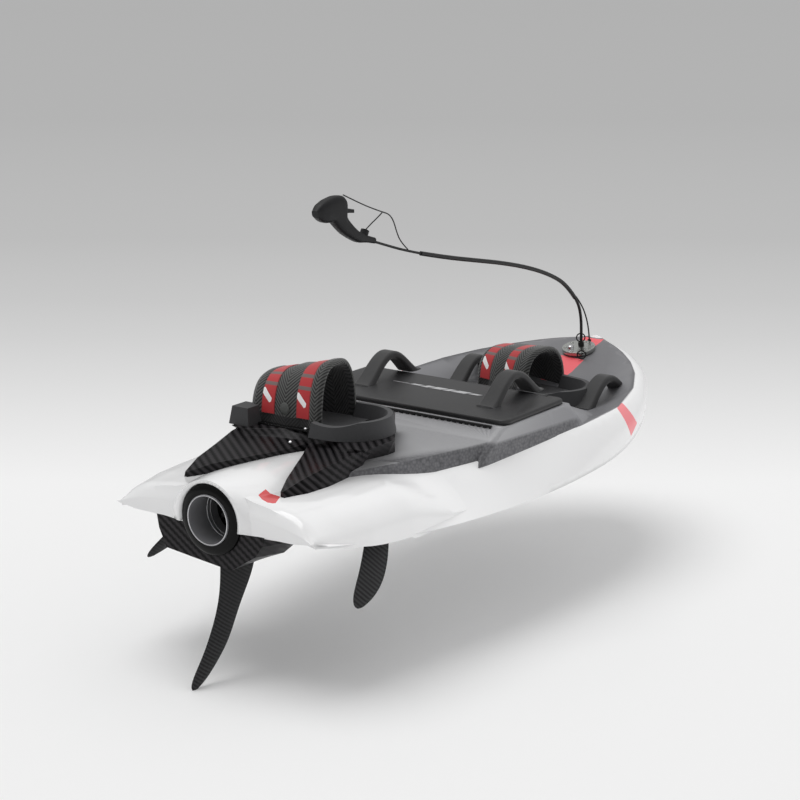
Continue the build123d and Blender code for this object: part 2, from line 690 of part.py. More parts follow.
# Tether: sleeve round its long arch, bare cord at both ends, a second cord and a wrist lanyard
save("bow_plate", plate, (0.75, 0.75, 0.76))
save("tether_post", post, (0.10, 0.10, 0.10))
save("cord_eye", eye, (0.10, 0.10, 0.10))
save("tether_sleeve", cord(SLEEVE_ROUTE, TETHER_R), (0.07, 0.07, 0.07))
upper_cord = cord(UPPER_ROUTE, CORD_R)
save("tether_upper_cord", upper_cord, (0.05, 0.05, 0.05))
save("tether_lower_cord", cord(TETHER_ROUTE, CORD_R + 1), (0.05, 0.05, 0.05))
save("second_cord", second_cord, (0.05, 0.05, 0.05))
save("wrist_lanyard", cord(LANYARD_ROUTE, LANYARD_R), (0.05, 0.05, 0.05))
save("stop_cord", cord(STOP_ROUTE, LANYARD_R), (0.05, 0.05, 0.05))

# Hand control: curved pistol grip with a hood, trigger, stop knob and collar
grip_side = Face(
    Wire(
        [
            Spline(*[(0, y, z) for y, z in GRIP_TOP]),
            Line((0, *GRIP_TOP[-1]), (0, *GRIP_FRONT[0])),
            Spline(*[(0, y, z) for y, z in GRIP_FRONT]),
            Line((0, *GRIP_FRONT[-1]), (0, *GRIP_BACK[0])),
            Spline(*[(0, y, z) for y, z in GRIP_BACK]),
            Line((0, *GRIP_BACK[-1]), (0, *GRIP_TOP[0])),
        ]
    )
)
grip = Pos(-GRIP_WIDTH / 2, 0, 0) * extrude(grip_side, GRIP_WIDTH, dir=(1, 0, 0))
grip = largest(grip - upper_cord)
save("control_grip", grip, (0.06, 0.06, 0.06))
trigger_side = Face(Wire(Polyline(*[(0, y, z) for y, z in TRIGGER_OUTLINE], close=True).edges()))
trigger = Pos(-TRIGGER_WIDTH / 2, 0, 0) * extrude(trigger_side, TRIGGER_WIDTH, dir=(1, 0, 0)) - grip
save("control_trigger", trigger, (0.08, 0.08, 0.08))
knob = Pos(0, *KNOB_AT) * Rot(-30, 0, 0) * Cylinder(KNOB_R, 18)
save("stop_knob", knob - grip, (0.09, 0.09, 0.09))

# Fins: lens sections from root to tip, one row per level: z, leading y, trailing y
def fin(rows, thick, cant):
    """Lofted fin with an outward cant, thinner towards its tip."""
    faces = []
    root_z, tip_z = rows[0][0], rows[-1][0]
    for z, lead, trail in rows:
        t = (root_z - z) / (root_z - tip_z)
        half = thick / 2 * (1 - 0.6 * t)
        x = cant * (root_z - z)
        p, q = (x, lead, z), (x, trail, z)
        belly = trail + (lead - trail) * 0.58
        starboard = ThreePointArc(p, (x + half, belly, z), q)
        port = ThreePointArc(q, (x - half, belly, z), p)
        faces.append(Face(Wire([starboard, port])))
    return loft(faces)


centre_fin = fin(CENTRE_FIN, FIN_T, 0.0)
save("fin_centre", largest(centre_fin - housing - hull - ring_space), (0.08, 0.08, 0.09))
for side, sign in (("port", -1), ("starboard", 1)):
    one = Pos(sign * SIDE_FIN_X, 0, 0) * fin(SIDE_FIN, SIDE_FIN_T, sign * SIDE_FIN_CANT)
    save(f"fin_{side}", largest(one - hull), (0.08, 0.08, 0.09))

if __name__ == "__main__":
    for name, shape in parts.items():
        print(name, shape.is_valid, len(shape.solids()), round(shape.volume / 1e6, 4))
        export_step(shape, f"parts/{name}.step")
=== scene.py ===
# Electric jet surfboard in a pale studio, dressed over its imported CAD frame.
# Metres. X starboard, Y towards the bow, Z up, the waterline at Z = 0.

import json
import math

import bmesh
import bpy
import numpy as np
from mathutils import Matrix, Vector
from mathutils.bvhtree import BVHTree


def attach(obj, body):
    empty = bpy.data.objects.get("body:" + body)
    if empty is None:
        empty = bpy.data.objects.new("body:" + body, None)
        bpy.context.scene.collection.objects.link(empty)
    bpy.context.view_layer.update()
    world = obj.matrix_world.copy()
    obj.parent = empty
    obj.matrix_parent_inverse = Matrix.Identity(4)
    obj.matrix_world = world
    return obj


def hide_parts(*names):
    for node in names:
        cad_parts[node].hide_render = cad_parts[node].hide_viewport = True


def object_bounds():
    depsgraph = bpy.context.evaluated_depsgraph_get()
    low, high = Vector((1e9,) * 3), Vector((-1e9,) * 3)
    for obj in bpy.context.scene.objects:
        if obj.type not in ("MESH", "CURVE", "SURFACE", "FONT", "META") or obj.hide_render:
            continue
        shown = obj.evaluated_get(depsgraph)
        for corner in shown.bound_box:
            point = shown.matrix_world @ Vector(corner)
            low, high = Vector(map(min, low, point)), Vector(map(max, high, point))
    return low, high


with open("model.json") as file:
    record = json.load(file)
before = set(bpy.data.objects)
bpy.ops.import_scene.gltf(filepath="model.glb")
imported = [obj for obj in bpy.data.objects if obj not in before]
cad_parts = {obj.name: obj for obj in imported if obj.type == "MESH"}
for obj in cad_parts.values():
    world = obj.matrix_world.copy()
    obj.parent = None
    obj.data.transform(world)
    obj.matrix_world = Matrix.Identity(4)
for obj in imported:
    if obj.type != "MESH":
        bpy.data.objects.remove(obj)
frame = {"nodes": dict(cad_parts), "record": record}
cad_box = [list(corner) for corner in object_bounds()]
scene = bpy.context.scene
scene.view_settings.view_transform = "Standard"


# The camera looks from behind the starboard quarter with a long lens,
# about five metres away and a metre and a half up, as the photograph was taken.
CAMERA_PLACE = (2.9237, -4.2957, 1.4451)
CAMERA_TURN = 0.6174
CAMERA_DIP = 0.2514
CAMERA_FOCAL_PX = 2167.5
IMAGE_PX = 800

camera_data = bpy.data.cameras.new("studio_camera")
camera_data.sensor_width = 36.0
camera_data.lens = 36.0 * CAMERA_FOCAL_PX / IMAGE_PX
camera_data.clip_end = 200.0
camera = bpy.data.objects.new("studio_camera", camera_data)
camera.location = CAMERA_PLACE
camera.rotation_euler = (math.pi / 2 - CAMERA_DIP, 0.0, CAMERA_TURN)
scene.collection.objects.link(camera)
scene.camera = camera


def linear(code):
    """A #RRGGBB colour as linear red, green, blue and alpha."""
    values = [int(code[i : i + 2], 16) / 255 for i in (1, 3, 5)]
    return tuple(v / 12.92 if v <= 0.04045 else ((v + 0.055) / 1.055) ** 2.4 for v in values) + (1.0,)


def add(tree, kind, settings=None, links=None):
    """Adds one shader node: settings by attribute or socket name, links from sockets by socket name."""
    made = tree.nodes.new(kind)
    for key, value in (settings or {}).items():
        if isinstance(key, str) and hasattr(made, key):
            setattr(made, key, value)
        else:
            made.inputs[key].default_value = value
    for key, source in (links or {}).items():
        tree.links.new(source, made.inputs[key])
    return made


def new_material(name):
    """An empty node material with its output node, and the socket of its Object coordinates."""
    made = bpy.data.materials.new(name)
    made.use_nodes = True
    tree = made.node_tree
    tree.nodes.clear()
    out = tree.nodes.new("ShaderNodeOutputMaterial")
    place = tree.nodes.new("ShaderNodeTexCoord").outputs["Object"]
    return made, tree, out, place


# The studio: one endless matt paper floor under the lowest fin tip, painted paler towards the viewer and
# greyer far off as painted light, for the studio light's fall-off; a soft white dome that is brighter
# overhead, a wide lamp above the board, and a panel beside the bow that whitens the hull and is flagged off
# the floor.
FLOOR_HALF = 45.0
# Distance from the camera in metres, and the paper's colour there: painted light, greyer with distance.
FLOOR_PAINTED_FALLOFF = [
    (3.9, "#F0F0F0"),
    (6.0, "#F1F1F1"),
    (6.7, "#E5E5E5"),
    (7.25, "#DBDBDB"),
    (7.9, "#D0D0D0"),
    (8.6, "#C7C7C7"),
    (10.0, "#BCBCBC"),
    (14.5, "#B3B3B3"),
    (24.0, "#B1B1B1"),
]
DOME_LOW = 0.40
DOME_HIGH = 0.74
# Strength, angle across, where the light comes from, and whether it falls on the floor too.
LAMPS = {
    "wide_lamp": (1.25, 44.0, (-0.30, -0.10, 1.0), True),
    "bow_panel": (1.45, 22.0, (0.42, 0.87, 0.25), False),
}

floor_z = cad_box[0][2]
floor_mesh = bpy.data.meshes.new("studio_floor")
# The four corners run anticlockwise as seen from above, so that the sheet faces up.
corners = [(a * FLOOR_HALF, b * FLOOR_HALF, floor_z) for a, b in ((-1, -1), (1, -1), (1, 1), (-1, 1))]
floor_mesh.from_pydata(corners, [], [(0, 1, 2, 3)])
floor = bpy.data.objects.new("studio_floor", floor_mesh)
scene.collection.objects.link(floor)

paper, tree, out, place = new_material("matt_studio_paper")
ahead = (-math.sin(CAMERA_TURN), math.cos(CAMERA_TURN), 0.0)
away = add(tree, "ShaderNodeVectorMath", {"operation": "DOT_PRODUCT", 1: ahead}, {0: place})
start = ahead[0] * CAMERA_PLACE[0] + ahead[1] * CAMERA_PLACE[1]
near, far = FLOOR_PAINTED_FALLOFF[0][0], FLOOR_PAINTED_FALLOFF[-1][0]
limits = {"From Min": start + near, "From Max": start + far}
scale = add(tree, "ShaderNodeMapRange", limits, {"Value": away.outputs["Value"]})
ramp = add(tree, "ShaderNodeValToRGB", {}, {"Fac": scale.outputs["Result"]})
while len(ramp.color_ramp.elements) < len(FLOOR_PAINTED_FALLOFF):
    ramp.color_ramp.elements.new(0.5)
for element, (distance, tone) in zip(ramp.color_ramp.elements, FLOOR_PAINTED_FALLOFF):
    element.position = (distance - near) / (far - near)
    element.color = linear(tone)
paper_shader = add(tree, "ShaderNodeBsdfDiffuse", {}, {"Color": ramp.outputs["Color"]})
tree.links.new(paper_shader.outputs["BSDF"], out.inputs["Surface"])
floor_mesh.materials.append(paper)

world = bpy.data.worlds.new("white_dome")
scene.world = world
world.use_nodes = True
tree = world.node_tree
sky = add(tree, "ShaderNodeTexCoord")
height = add(tree, "ShaderNodeSeparateXYZ", {}, {0: sky.outputs["Generated"]})
limits = {"To Min": DOME_LOW, "To Max": DOME_HIGH}
strength = add(tree, "ShaderNodeMapRange", limits, {"Value": height.outputs["Z"]})
tree.links.new(strength.outputs["Result"], tree.nodes["Background"].inputs["Strength"])
tree.nodes["Background"].inputs["Color"].default_value = linear("#FFFFFF")

for name, (power, angle, source, on_floor) in LAMPS.items():
    lamp_data = bpy.data.lights.new(name, "SUN")
    lamp_data.energy = power
    lamp_data.angle = math.radians(angle)
    lamp = bpy.data.objects.new(name, lamp_data)
    lamp.rotation_euler = Vector([-v for v in source]).to_track_quat("-Z", "Y").to_euler()
    scene.collection.objects.link(lamp)
    if not on_floor:
        # It leaves no bright patch on the gelcoat over the rail's red band, and no light on the floor.
        lamp.visible_glossy = False
        lit = bpy.data.collections.new(name + "_lights")
        lit.objects.link(floor)
        lamp.light_linking.receiver_collection = lit
        lit.collection_objects[0].light_linking.link_state = "EXCLUDE"


# The hull is one moulded shell in glossy white gelcoat, wet-sanded and polished after it leaves the mould.
# Its red bands, on both rails and to starboard of the outlet, are masked and sprayed under the clear coat.
MM = 0.001
# Corners of a CAD mesh closer than WELD metres are one corner, and faces within FLAT degrees are one face.
WELD = 2e-6
FLAT = 0.6
bodies = frame["record"]["behaviour"]["bodies"]
BODY_OF = {node: body for body, members in bodies.items() for node in members}


def dressed(thing, node):
    """Fixes a finished piece to the body of a CAD node, and lets it stand for that node."""
    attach(thing, BODY_OF[node])
    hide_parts(node)
    return thing


def skin(node, material, angle, edge=0.0):
    """A CAD node's mesh with its corners merged, smooth up to an angle, and its edges broken if asked."""
    mesh = frame["nodes"][node].data.copy()
    mesh.name = node + "_skin"
    work = bmesh.new()
    work.from_mesh(mesh)
    bmesh.ops.remove_doubles(work, verts=work.verts, dist=WELD)
    if edge:
        bmesh.ops.dissolve_limit(work, angle_limit=math.radians(FLAT), verts=work.verts, edges=work.edges)
    work.to_mesh(mesh)
    work.free()
    mesh.shade_smooth()
    mesh.set_sharp_from_angle(angle=math.radians(angle))
    mesh.materials.clear()
    mesh.materials.append(material)
    made = bpy.data.objects.new(node + "_skin", mesh)
    scene.collection.objects.link(made)
    if edge:
        broken = made.modifiers.new("broken_edges", "BEVEL")
        broken.width = edge
        broken.segments = 2
        broken.limit_method = "ANGLE"
        broken.angle_limit = math.radians(angle)
        broken.harden_normals = True
    return dressed(made, node)


def inside(tree, place, outline, axes=(0, 1)):
    """1 inside a convex outline in millimetres, and 0 outside it.

    The distance to each edge is above 0 on its inner side, so the least of them is above 0 only inside.
    """
    points = np.array(outline, float) * MM
    middle = points.mean(0)
    least = None
    for here, there in zip(points, np.roll(points, -1, 0)):
        normal = np.array([here[1] - there[1], there[0] - here[0]])
        normal /= np.linalg.norm(normal) * np.sign(normal @ (middle - here))
        direction = [0.0, 0.0, 0.0]
        direction[axes[0]], direction[axes[1]] = normal
        reach = add(tree, "ShaderNodeVectorMath", {"operation": "DOT_PRODUCT", 1: direction}, {0: place})
        away = {"operation": "SUBTRACT", 1: float(normal @ here)}
        depth = add(tree, "ShaderNodeMath", away, {0: reach.outputs["Value"]}).outputs[0]
        if least is None:
            least = depth
        else:
            least = add(tree, "ShaderNodeMath", {"operation": "MINIMUM"}, {0: least, 1: depth}).outputs[0]
    return add(tree, "ShaderNodeMath", {"operation": "GREATER_THAN", 1: 0.0}, {0: least}).outputs[0]


# Outlines of the red bands: the outlet's seen from above (x, y), the rail's seen from the side (y, z).
OUTLET_BAND = [
    (88, -803),
    (90.5, -819),
    (93, -834.5),
    (113, -848),
    (132, -853),
    (144, -848),
    (147, -843),
    (130, -805),
]
RAIL_BAND = [(289.5, 79), (326, 84), (372, 24), (326, 1)]

# Gelcoat: a hard polyester skin, an even bright white with clear reflections.
gelcoat, tree, out, place = new_material("white_polyester_gelcoat")
clouds = add(tree, "ShaderNodeTexNoise", {"Scale": 3.0, "Detail": 2.0}, {"Vector": place})
# A Mix node of colours has its share at socket 0, its two colours at sockets 6 and 7, and its result at 2.
whites = {"data_type": "RGBA", 6: linear("#E9E9EA"), 7: linear("#EEEEEE")}
white = add(tree, "ShaderNodeMix", whites, {0: clouds.outputs["Fac"]}).outputs[2]
bands = (
    (inside(tree, place, OUTLET_BAND), "#D64A4C"),
    (inside(tree, place, RAIL_BAND, (1, 2)), "#F0888E"),
)
for band, colour in bands:
    red = {"data_type": "RGBA", 7: linear(colour)}
    white = add(tree, "ShaderNodeMix", red, {0: band, 6: white}).outputs[2]
settings = {"Roughness": 0.16, "IOR": 1.5, "Coat Weight": 0.5, "Coat Roughness": 0.03}
shader = add(tree, "ShaderNodeBsdfPrincipled", settings, {"Base Color": white})
tree.links.new(shader.outputs["BSDF"], out.inputs["Surface"])
skin("hull", gelcoat, angle=34.0)


# The deck is a grey foam-cored moulding, satin, its grey darker towards the bow; its sloping sides are
# painted a lighter grey by which way they face, as painted light, with a fine grip texture pressed into
# them. It is bonded into the hull.
DECK_ARROW = [(-42, 626), (42, 618), (38, 560), (20, 500), (-20, 500), (-38, 560)]
DECK_TIP = [(-30, 700), (30, 700), (30, 743), (-30, 743)]
# In metres: y where the paint starts and stops darkening towards the bow, y where the grip texture fades,
# and the height over which it fades at the top, at y = 0. That height falls by GRIP_FALL per metre of y.
DECK_FADE = (-0.62, 0.18)
GRIP_FORE = (0.16, 0.10)
GRIP_TOP = (0.0935, 0.085)
GRIP_FALL = 0.018
# The upward part of a face's normal, where the flat deck passes into its sloping sides.
FLANK_FROM = (0.93, 0.80)

# Painted polyurethane: a soft even grey with a fine grain and a mild sheen.
deck_paint, tree, out, place = new_material("grey_satin_deck_paint")
axes = add(tree, "ShaderNodeSeparateXYZ", {}, {0: place})
limits = {"interpolation_type": "SMOOTHSTEP", "From Min": DECK_FADE[0], "From Max": DECK_FADE[1]}
along = add(tree, "ShaderNodeMapRange", limits, {"Value": axes.outputs["Y"]})
clouds = add(tree, "ShaderNodeTexNoise", {"Scale": 5.0, "Detail": 3.0}, {"Vector": place})
greys = {"data_type": "RGBA", 6: linear("#ACACAE"), 7: linear("#A4A4A6")}
rear = add(tree, "ShaderNodeMix", greys, {0: clouds.outputs["Fac"]}).outputs[2]
greys = {"data_type": "RGBA", 7: linear("#717174")}
grey = add(tree, "ShaderNodeMix", greys, {0: along.outputs["Result"], 6: rear}).outputs[2]
# Painted light: the sloping sides are painted lighter than the flat deck, picked by the upward part of each
# face's normal.
greys = {"data_type": "RGBA", 6: linear("#BCBCBE"), 7: linear("#868689")}
flank_painted_light = add(tree, "ShaderNodeMix", greys, {0: along.outputs["Result"]}).outputs[2]
facing = add(tree, "ShaderNodeNewGeometry")
normal = add(tree, "ShaderNodeSeparateXYZ", {}, {0: facing.outputs["Normal"]})
limits = {"From Min": FLANK_FROM[0], "From Max": FLANK_FROM[1]}
steep = add(tree, "ShaderNodeMapRange", limits, {"Value": normal.outputs["Z"]}).outputs["Result"]
grey = add(tree, "ShaderNodeMix", {"data_type": "RGBA"}, {0: steep, 6: grey, 7: flank_painted_light}).outputs[2]
# The grip texture fills a band above the rail, behind the fore binding, which falls towards the bow.
limits = {"From Min": GRIP_FORE[0], "From Max": GRIP_FORE[1]}
behind = add(tree, "ShaderNodeMapRange", limits, {"Value": axes.outputs["Y"]}).outputs["Result"]
fall = {"operation": "MULTIPLY_ADD", 1: GRIP_FALL}
climb = add(tree, "ShaderNodeMath", fall, {0: axes.outputs["Y"], 2: axes.outputs["Z"]}).outputs[0]
limits = {"From Min": GRIP_TOP[0], "From Max": GRIP_TOP[1]}
band = add(tree, "ShaderNodeMapRange", limits, {"Value": climb}).outputs["Result"]
side = add(tree, "ShaderNodeMath", {"operation": "MULTIPLY"}, {0: steep, 1: behind}).outputs[0]
side = add(tree, "ShaderNodeMath", {"operation": "MULTIPLY"}, {0: side, 1: band}).outputs[0]
# Grip pebbles about 7 mm apart, drawn that coarse so that they show from five metres.
pebbles = add(tree, "ShaderNodeTexVoronoi", {"Scale": 140.0, "Randomness": 0.8}, {"Vector": place})
greys = {"data_type": "RGBA", 6: linear("#747477"), 7: linear("#48484B")}
pebble_tone = add(tree, "ShaderNodeMix", greys, {0: pebbles.outputs["Distance"]}).outputs[2]
grey = add(tree, "ShaderNodeMix", {"data_type": "RGBA"}, {0: side, 6: grey, 7: pebble_tone}).outputs[2]
# The two red marks ahead of the fore binding are masked and sprayed.
for outline in (DECK_ARROW, DECK_TIP):
    red = {"data_type": "RGBA", 7: linear("#F0646C")}
    grey = add(tree, "ShaderNodeMix", red, {0: inside(tree, place, outline), 6: grey}).outputs[2]
grain = add(tree, "ShaderNodeTexNoise", {"Scale": 700.0, "Detail": 2.0}, {"Vector": place})
heights = {0: side, 2: grain.outputs["Fac"], 3: pebbles.outputs["Distance"]}
relief = add(tree, "ShaderNodeMix", {}, heights)
bump = add(tree, "ShaderNodeBump", {"Strength": 0.12, "Distance": 0.001}, {"Height": relief.outputs[0]})
settings = {"Roughness": 0.42, "IOR": 1.48}
links = {"Base Color": grey, "Normal": bump.outputs["Normal"]}
shader = add(tree, "ShaderNodeBsdfPrincipled", settings, links)
tree.links.new(shader.outputs["BSDF"], out.inputs["Surface"])
skin("deck_moulding", deck_paint, angle=30.0)


# Shroud, jet housing and fins are laid up in coarse carbon twill under clear resin,
# cured in a mould and screwed on, so their edges are slightly rounded.
def twill_material(name, cell, dark, light, rough):
    """Two-by-two twill: the tow on top changes where the sum of two cell numbers, taken modulo 4, passes 2.

    The cells are counted along x and y, each leaned by a share of z, so that they cross upright walls too.
    """
    made, tree, out, place = new_material(name)
    axes = add(tree, "ShaderNodeSeparateXYZ", {}, {0: place})
    numbers = []
    for axis, lean in (("X", 0.55), ("Y", 0.9)):
        leaned = {"operation": "MULTIPLY_ADD", 1: lean}
        tilted = add(tree, "ShaderNodeMath", leaned, {0: axes.outputs["Z"], 2: axes.outputs[axis]})
        steps = add(tree, "ShaderNodeMath", {"operation": "DIVIDE", 1: cell}, {0: tilted.outputs[0]})
        numbers.append(steps.outputs[0])
    cells = [add(tree, "ShaderNodeMath", {"operation": "FLOOR"}, {0: n}).outputs[0] for n in numbers]
    total = add(tree, "ShaderNodeMath", {"operation": "ADD"}, {0: cells[0], 1: cells[1]})
    turn = add(tree, "ShaderNodeMath", {"operation": "FLOORED_MODULO", 1: 4.0}, {0: total.outputs[0]})
    over = add(tree, "ShaderNodeMath", {"operation": "LESS_THAN", 1: 1.5}, {0: turn.outputs[0]})
    # The band's soft rise and fall along the diagonal, as the resin fills the tows.
    slope = add(tree, "ShaderNodeMath", {"operation": "ADD"}, {0: numbers[0], 1: numbers[1]})
    swing = add(tree, "ShaderNodeMath", {"operation": "MULTIPLY", 1: math.pi / 2}, {0: slope.outputs[0]})
    wave = add(tree, "ShaderNodeMath", {"operation": "SINE"}, {0: swing.outputs[0]})
    soft = add(tree, "ShaderNodeMapRange", {"From Min": -1.0, "From Max": 1.0}, {"Value": wave.outputs[0]})
    share = add(tree, "ShaderNodeMix", {0: 0.62}, {2: over.outputs[0], 3: soft.outputs["Result"]})
    share = share.outputs[0]
    # The weave's pattern is real; the lighter colour of the tows on top is painted sheen, for the light
    # they catch.
    tones = {"data_type": "RGBA", 6: linear(dark), 7: linear(light)}
    tone = add(tree, "ShaderNodeMix", tones, {0: share}).outputs[2]
    gloss = add(tree, "ShaderNodeMapRange", {"To Min": rough, "To Max": rough + 0.14}, {"Value": share})
    bump = add(tree, "ShaderNodeBump", {"Strength": 0.25, "Distance": 0.0006}, {"Height": share})
    settings = {"IOR": 1.5, "Coat Weight": 0.06, "Coat Roughness": 0.1, "Specular IOR Level": 0.08}
    links = {"Base Color": tone, "Roughness": gloss.outputs["Result"], "Normal": bump.outputs["Normal"]}
    shader = add(tree, "ShaderNodeBsdfPrincipled", settings, links)
    tree.links.new(shader.outputs["BSDF"], out.inputs["Surface"])
    return made


def trimmed(thing, point, outwards, angle):
    """Cuts both sides of a skin by upright planes through a point in mm, and closes the cuts."""
    work = bmesh.new()
    work.from_mesh(thing.data)
    for side in (1, -1):
        everything = work.verts[:] + work.edges[:] + work.faces[:]
        place = (side * point[0] * MM, point[1] * MM, 0.0)
        facing = (side * outwards[0], outwards[1], 0.0)
        bmesh.ops.bisect_plane(work, geom=everything, plane_co=place, plane_no=facing, clear_outer=True)
        bmesh.ops.holes_fill(work, edges=[edge for edge in work.edges if edge.is_boundary])
    work.to_mesh(thing.data)
    work.free()
    thing.data.set_sharp_from_angle(angle=math.radians(angle))


# The shroud's forward wings are cut back beside the heel block, so the grey deck shows there: each cut
# goes through this corner, in mm, and faces this way.
SHROUD_CORNER = (181.0, -452.0)
SHROUD_TRIM = (0.814, 0.581)
# Edges sharper than this many degrees are rounded by this much.
CARBON_ANGLE = 22.0
CARBON_EDGE = 1.2 * MM
# Real tows are 3 mm wide; here a cell is 6.5 mm, which gives the broad diagonal bands that the eye sees.
coarse_twill = twill_material("carbon_twill_clear_resin", 6.5 * MM, "#020203", "#353335", 0.28)
# The fins' cloth is finer, so from a distance it looks an even dark grey with faint bars.
fin_twill = twill_material("fin_carbon_satin", 3.5 * MM, "#202021", "#3A3A3B", 0.38)
shroud = skin("tail_shroud", coarse_twill, CARBON_ANGLE, CARBON_EDGE)
trimmed(shroud, SHROUD_CORNER, SHROUD_TRIM, CARBON_ANGLE)
skin("jet_housing", coarse_twill, CARBON_ANGLE, CARBON_EDGE)
for name in ("fin_centre", "fin_port", "fin_starboard"):
    skin(name, fin_twill, angle=40.0)


# The jet: a lacquered black outlet ring, a dark anodised nozzle with a bright machined lip,
# and the pump's stator, impeller, shaft, motor and intake grille behind it.
JET_Z = 30.0
RING_PROFILE = [
    (57.1, -859.2),
    (57.1, -891.2),
    (58.0, -892.7),
    (60.0, -893.0),
    (66.0, -892.2),
    (74.0, -890.2),
    (79.0, -888.0),
    (81.2, -885.6),
    (81.9, -882.0),
    (81.9, -859.2),
]
# Radius, y and half thickness of the bright lines: at the lip, and where two liners meet in the bore.
BRIGHT_RINGS = [(54.6, -895.6, 0.9), (55.7, -831.0, 0.9), (56.6, -819.0, 0.9)]
# Points round a turned piece, and round the bead of a bright line.
AROUND = 96
AROUND_BEAD = 8
# Folds sharper than this many degrees stay crisp on a piece made here. Its grain is pressed in this deep.
FOLD_ANGLE = 40.0
GRAIN_DEPTH = 0.5 * MM


def grid_faces(rows, columns, closed_rows, closed_columns):
    """Quads between neighbouring points of a grid of rows, whose ends may be joined either way."""
    i = np.arange(rows if closed_rows else rows - 1)[:, None]
    j = np.arange(columns if closed_columns else columns - 1)[None, :]
    after, beside = (i + 1) % rows, (j + 1) % columns
    corners = (i * columns + j, i * columns + beside, after * columns + beside, after * columns + j)
    return np.stack([np.broadcast_to(c, (i.size, j.size)) for c in corners], -1).reshape(-1, 4)


def surface(name, points, material, closed=(False, True), caps=False, uv=None, smooth=True):
    """A mesh from a grid of points in millimetres.

    It may be closed across its rows and along its columns, and its first and last rows may be capped.
    """
    rows, columns = points.shape[:2]
    faces = grid_faces(rows, columns, *closed).tolist()
    if caps:
        faces += [list(range(columns))[::-1], list(range((rows - 1) * columns, rows * columns))]
    mesh = bpy.data.meshes.new(name)
    mesh.from_pydata((points.reshape(-1, 3) * MM).tolist(), [], faces)
    if uv is not None:
        layer = mesh.uv_layers.new(name="along")
        used = np.empty(len(mesh.loops), np.int32)
        mesh.loops.foreach_get("vertex_index", used)
        layer.data.foreach_set("uv", (uv.reshape(-1, 2) * MM)[used].ravel())
    work = bmesh.new()
    work.from_mesh(mesh)
    bmesh.ops.recalc_face_normals(work, faces=work.faces)
    work.to_mesh(mesh)
    work.free()
    if smooth:
        mesh.shade_smooth()
        mesh.set_sharp_from_angle(angle=math.radians(FOLD_ANGLE))
    mesh.materials.append(material)
    made = bpy.data.objects.new(name, mesh)
    scene.collection.objects.link(made)
    return made


def turned(name, profile, material, axis_z):
    """A closed profile of (radius, y) carried round a line along Y: x = r cos a, z = axis_z + r sin a."""
    profile = np.array(profile, float)
    angle = np.linspace(0, 2 * np.pi, AROUND, endpoint=False)
    r, y = profile[:, :1], profile[:, 1:]
    points = np.stack([r * np.cos(angle), y + 0 * angle, r * np.sin(angle) + axis_z], -1)
    return surface(name, points, material, (True, True))


def joined(name, things):
    """Several finished meshes as one piece."""
    with bpy.context.temp_override(active_object=things[0], selected_editable_objects=things):
        bpy.ops.object.join()
    things[0].name = name
    things[0].data.name = name
    return things[0]


def plain(name, dark, light, scale, settings, relief=0.0):
    """A moulded or machined finish: two near tones clouded by noise of one grain, and a bump like it."""
    made, tree, out, place = new_material(name)
    noise = add(tree, "ShaderNodeTexNoise", {"Scale": scale, "Detail": 3.0}, {"Vector": place})
    tones = {"data_type": "RGBA", 6: linear(dark), 7: linear(light)}
    links = {"Base Color": add(tree, "ShaderNodeMix", tones, {0: noise.outputs["Fac"]}).outputs[2]}
    if relief:
        depth = {"Strength": relief, "Distance": GRAIN_DEPTH}
        bump = add(tree, "ShaderNodeBump", depth, {"Height": noise.outputs["Fac"]})
        links["Normal"] = bump.outputs["Normal"]
    shader = add(tree, "ShaderNodeBsdfPrincipled", settings, links)
    tree.links.new(shader.outputs["BSDF"], out.inputs["Surface"])
    return made


# Black lacquer on a moulded ring: deep black, with one soft reflection.
settings = {"Roughness": 0.16, "IOR": 1.45, "Specular IOR Level": 0.16}
lacquer = plain("black_lacquer", "#040404", "#080808", 12.0, settings)
# Hard-anodised aluminium: mid grey and satin, so the deep bore reads as a smooth dark tube.
settings = {"Roughness": 0.42, "Metallic": 0.2}
anodised = plain("hard_anodised_aluminium", "#7E7E81", "#8A8A8D", 40.0, settings)
# Machined aluminium edge: a hair-thin bright line.
settings = {"Roughness": 0.22, "Metallic": 1.0}
machined = plain("machined_aluminium", "#D8D8DA", "#E6E6E8", 300.0, settings)
# Cast aluminium, painted near black for the shade deep in the bore: dull, with a slight grain.
settings = {"Roughness": 0.5, "Metallic": 0.4}
pump_metal = plain("cast_pump_aluminium", "#1C1C1D", "#262627", 60.0, settings, relief=0.2)
# Ground stainless steel: bright, with a narrow soft highlight along the shaft.
settings = {"Roughness": 0.24, "Metallic": 1.0}
shaft_steel = plain("ground_stainless_steel", "#A9A9AC", "#BBBBBE", 400.0, settings)
# Glass-filled nylon: a dull black with a fine moulded grain.
grille_nylon = plain("glass_filled_nylon", "#1C1C1D", "#262628", 300.0, {"Roughness": 0.55}, relief=0.15)

dressed(turned("outlet_ring", RING_PROFILE, lacquer, JET_Z), "nozzle_ring")
skin("jet_nozzle", anodised, angle=30.0)
angle = np.linspace(0, 2 * np.pi, AROUND_BEAD, endpoint=False)
lines = []
for k, (radius, y, half_thick) in enumerate(BRIGHT_RINGS):
    profile = np.stack([radius + half_thick * np.cos(angle), y + half_thick * np.sin(angle)], -1)
    lines.append(turned(f"bore_line_{k}", profile, machined, JET_Z))
bore_lines = joined("bore_lines", lines)
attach(bore_lines, "board")
skin("pump_stator", pump_metal, angle=30.0)
skin("impeller", pump_metal, angle=30.0)
skin("drive_shaft", shaft_steel, angle=30.0)
skin("motor", anodised, angle=30.0)
skin("intake_grille", grille_nylon, angle=30.0, edge=0.6 * MM)


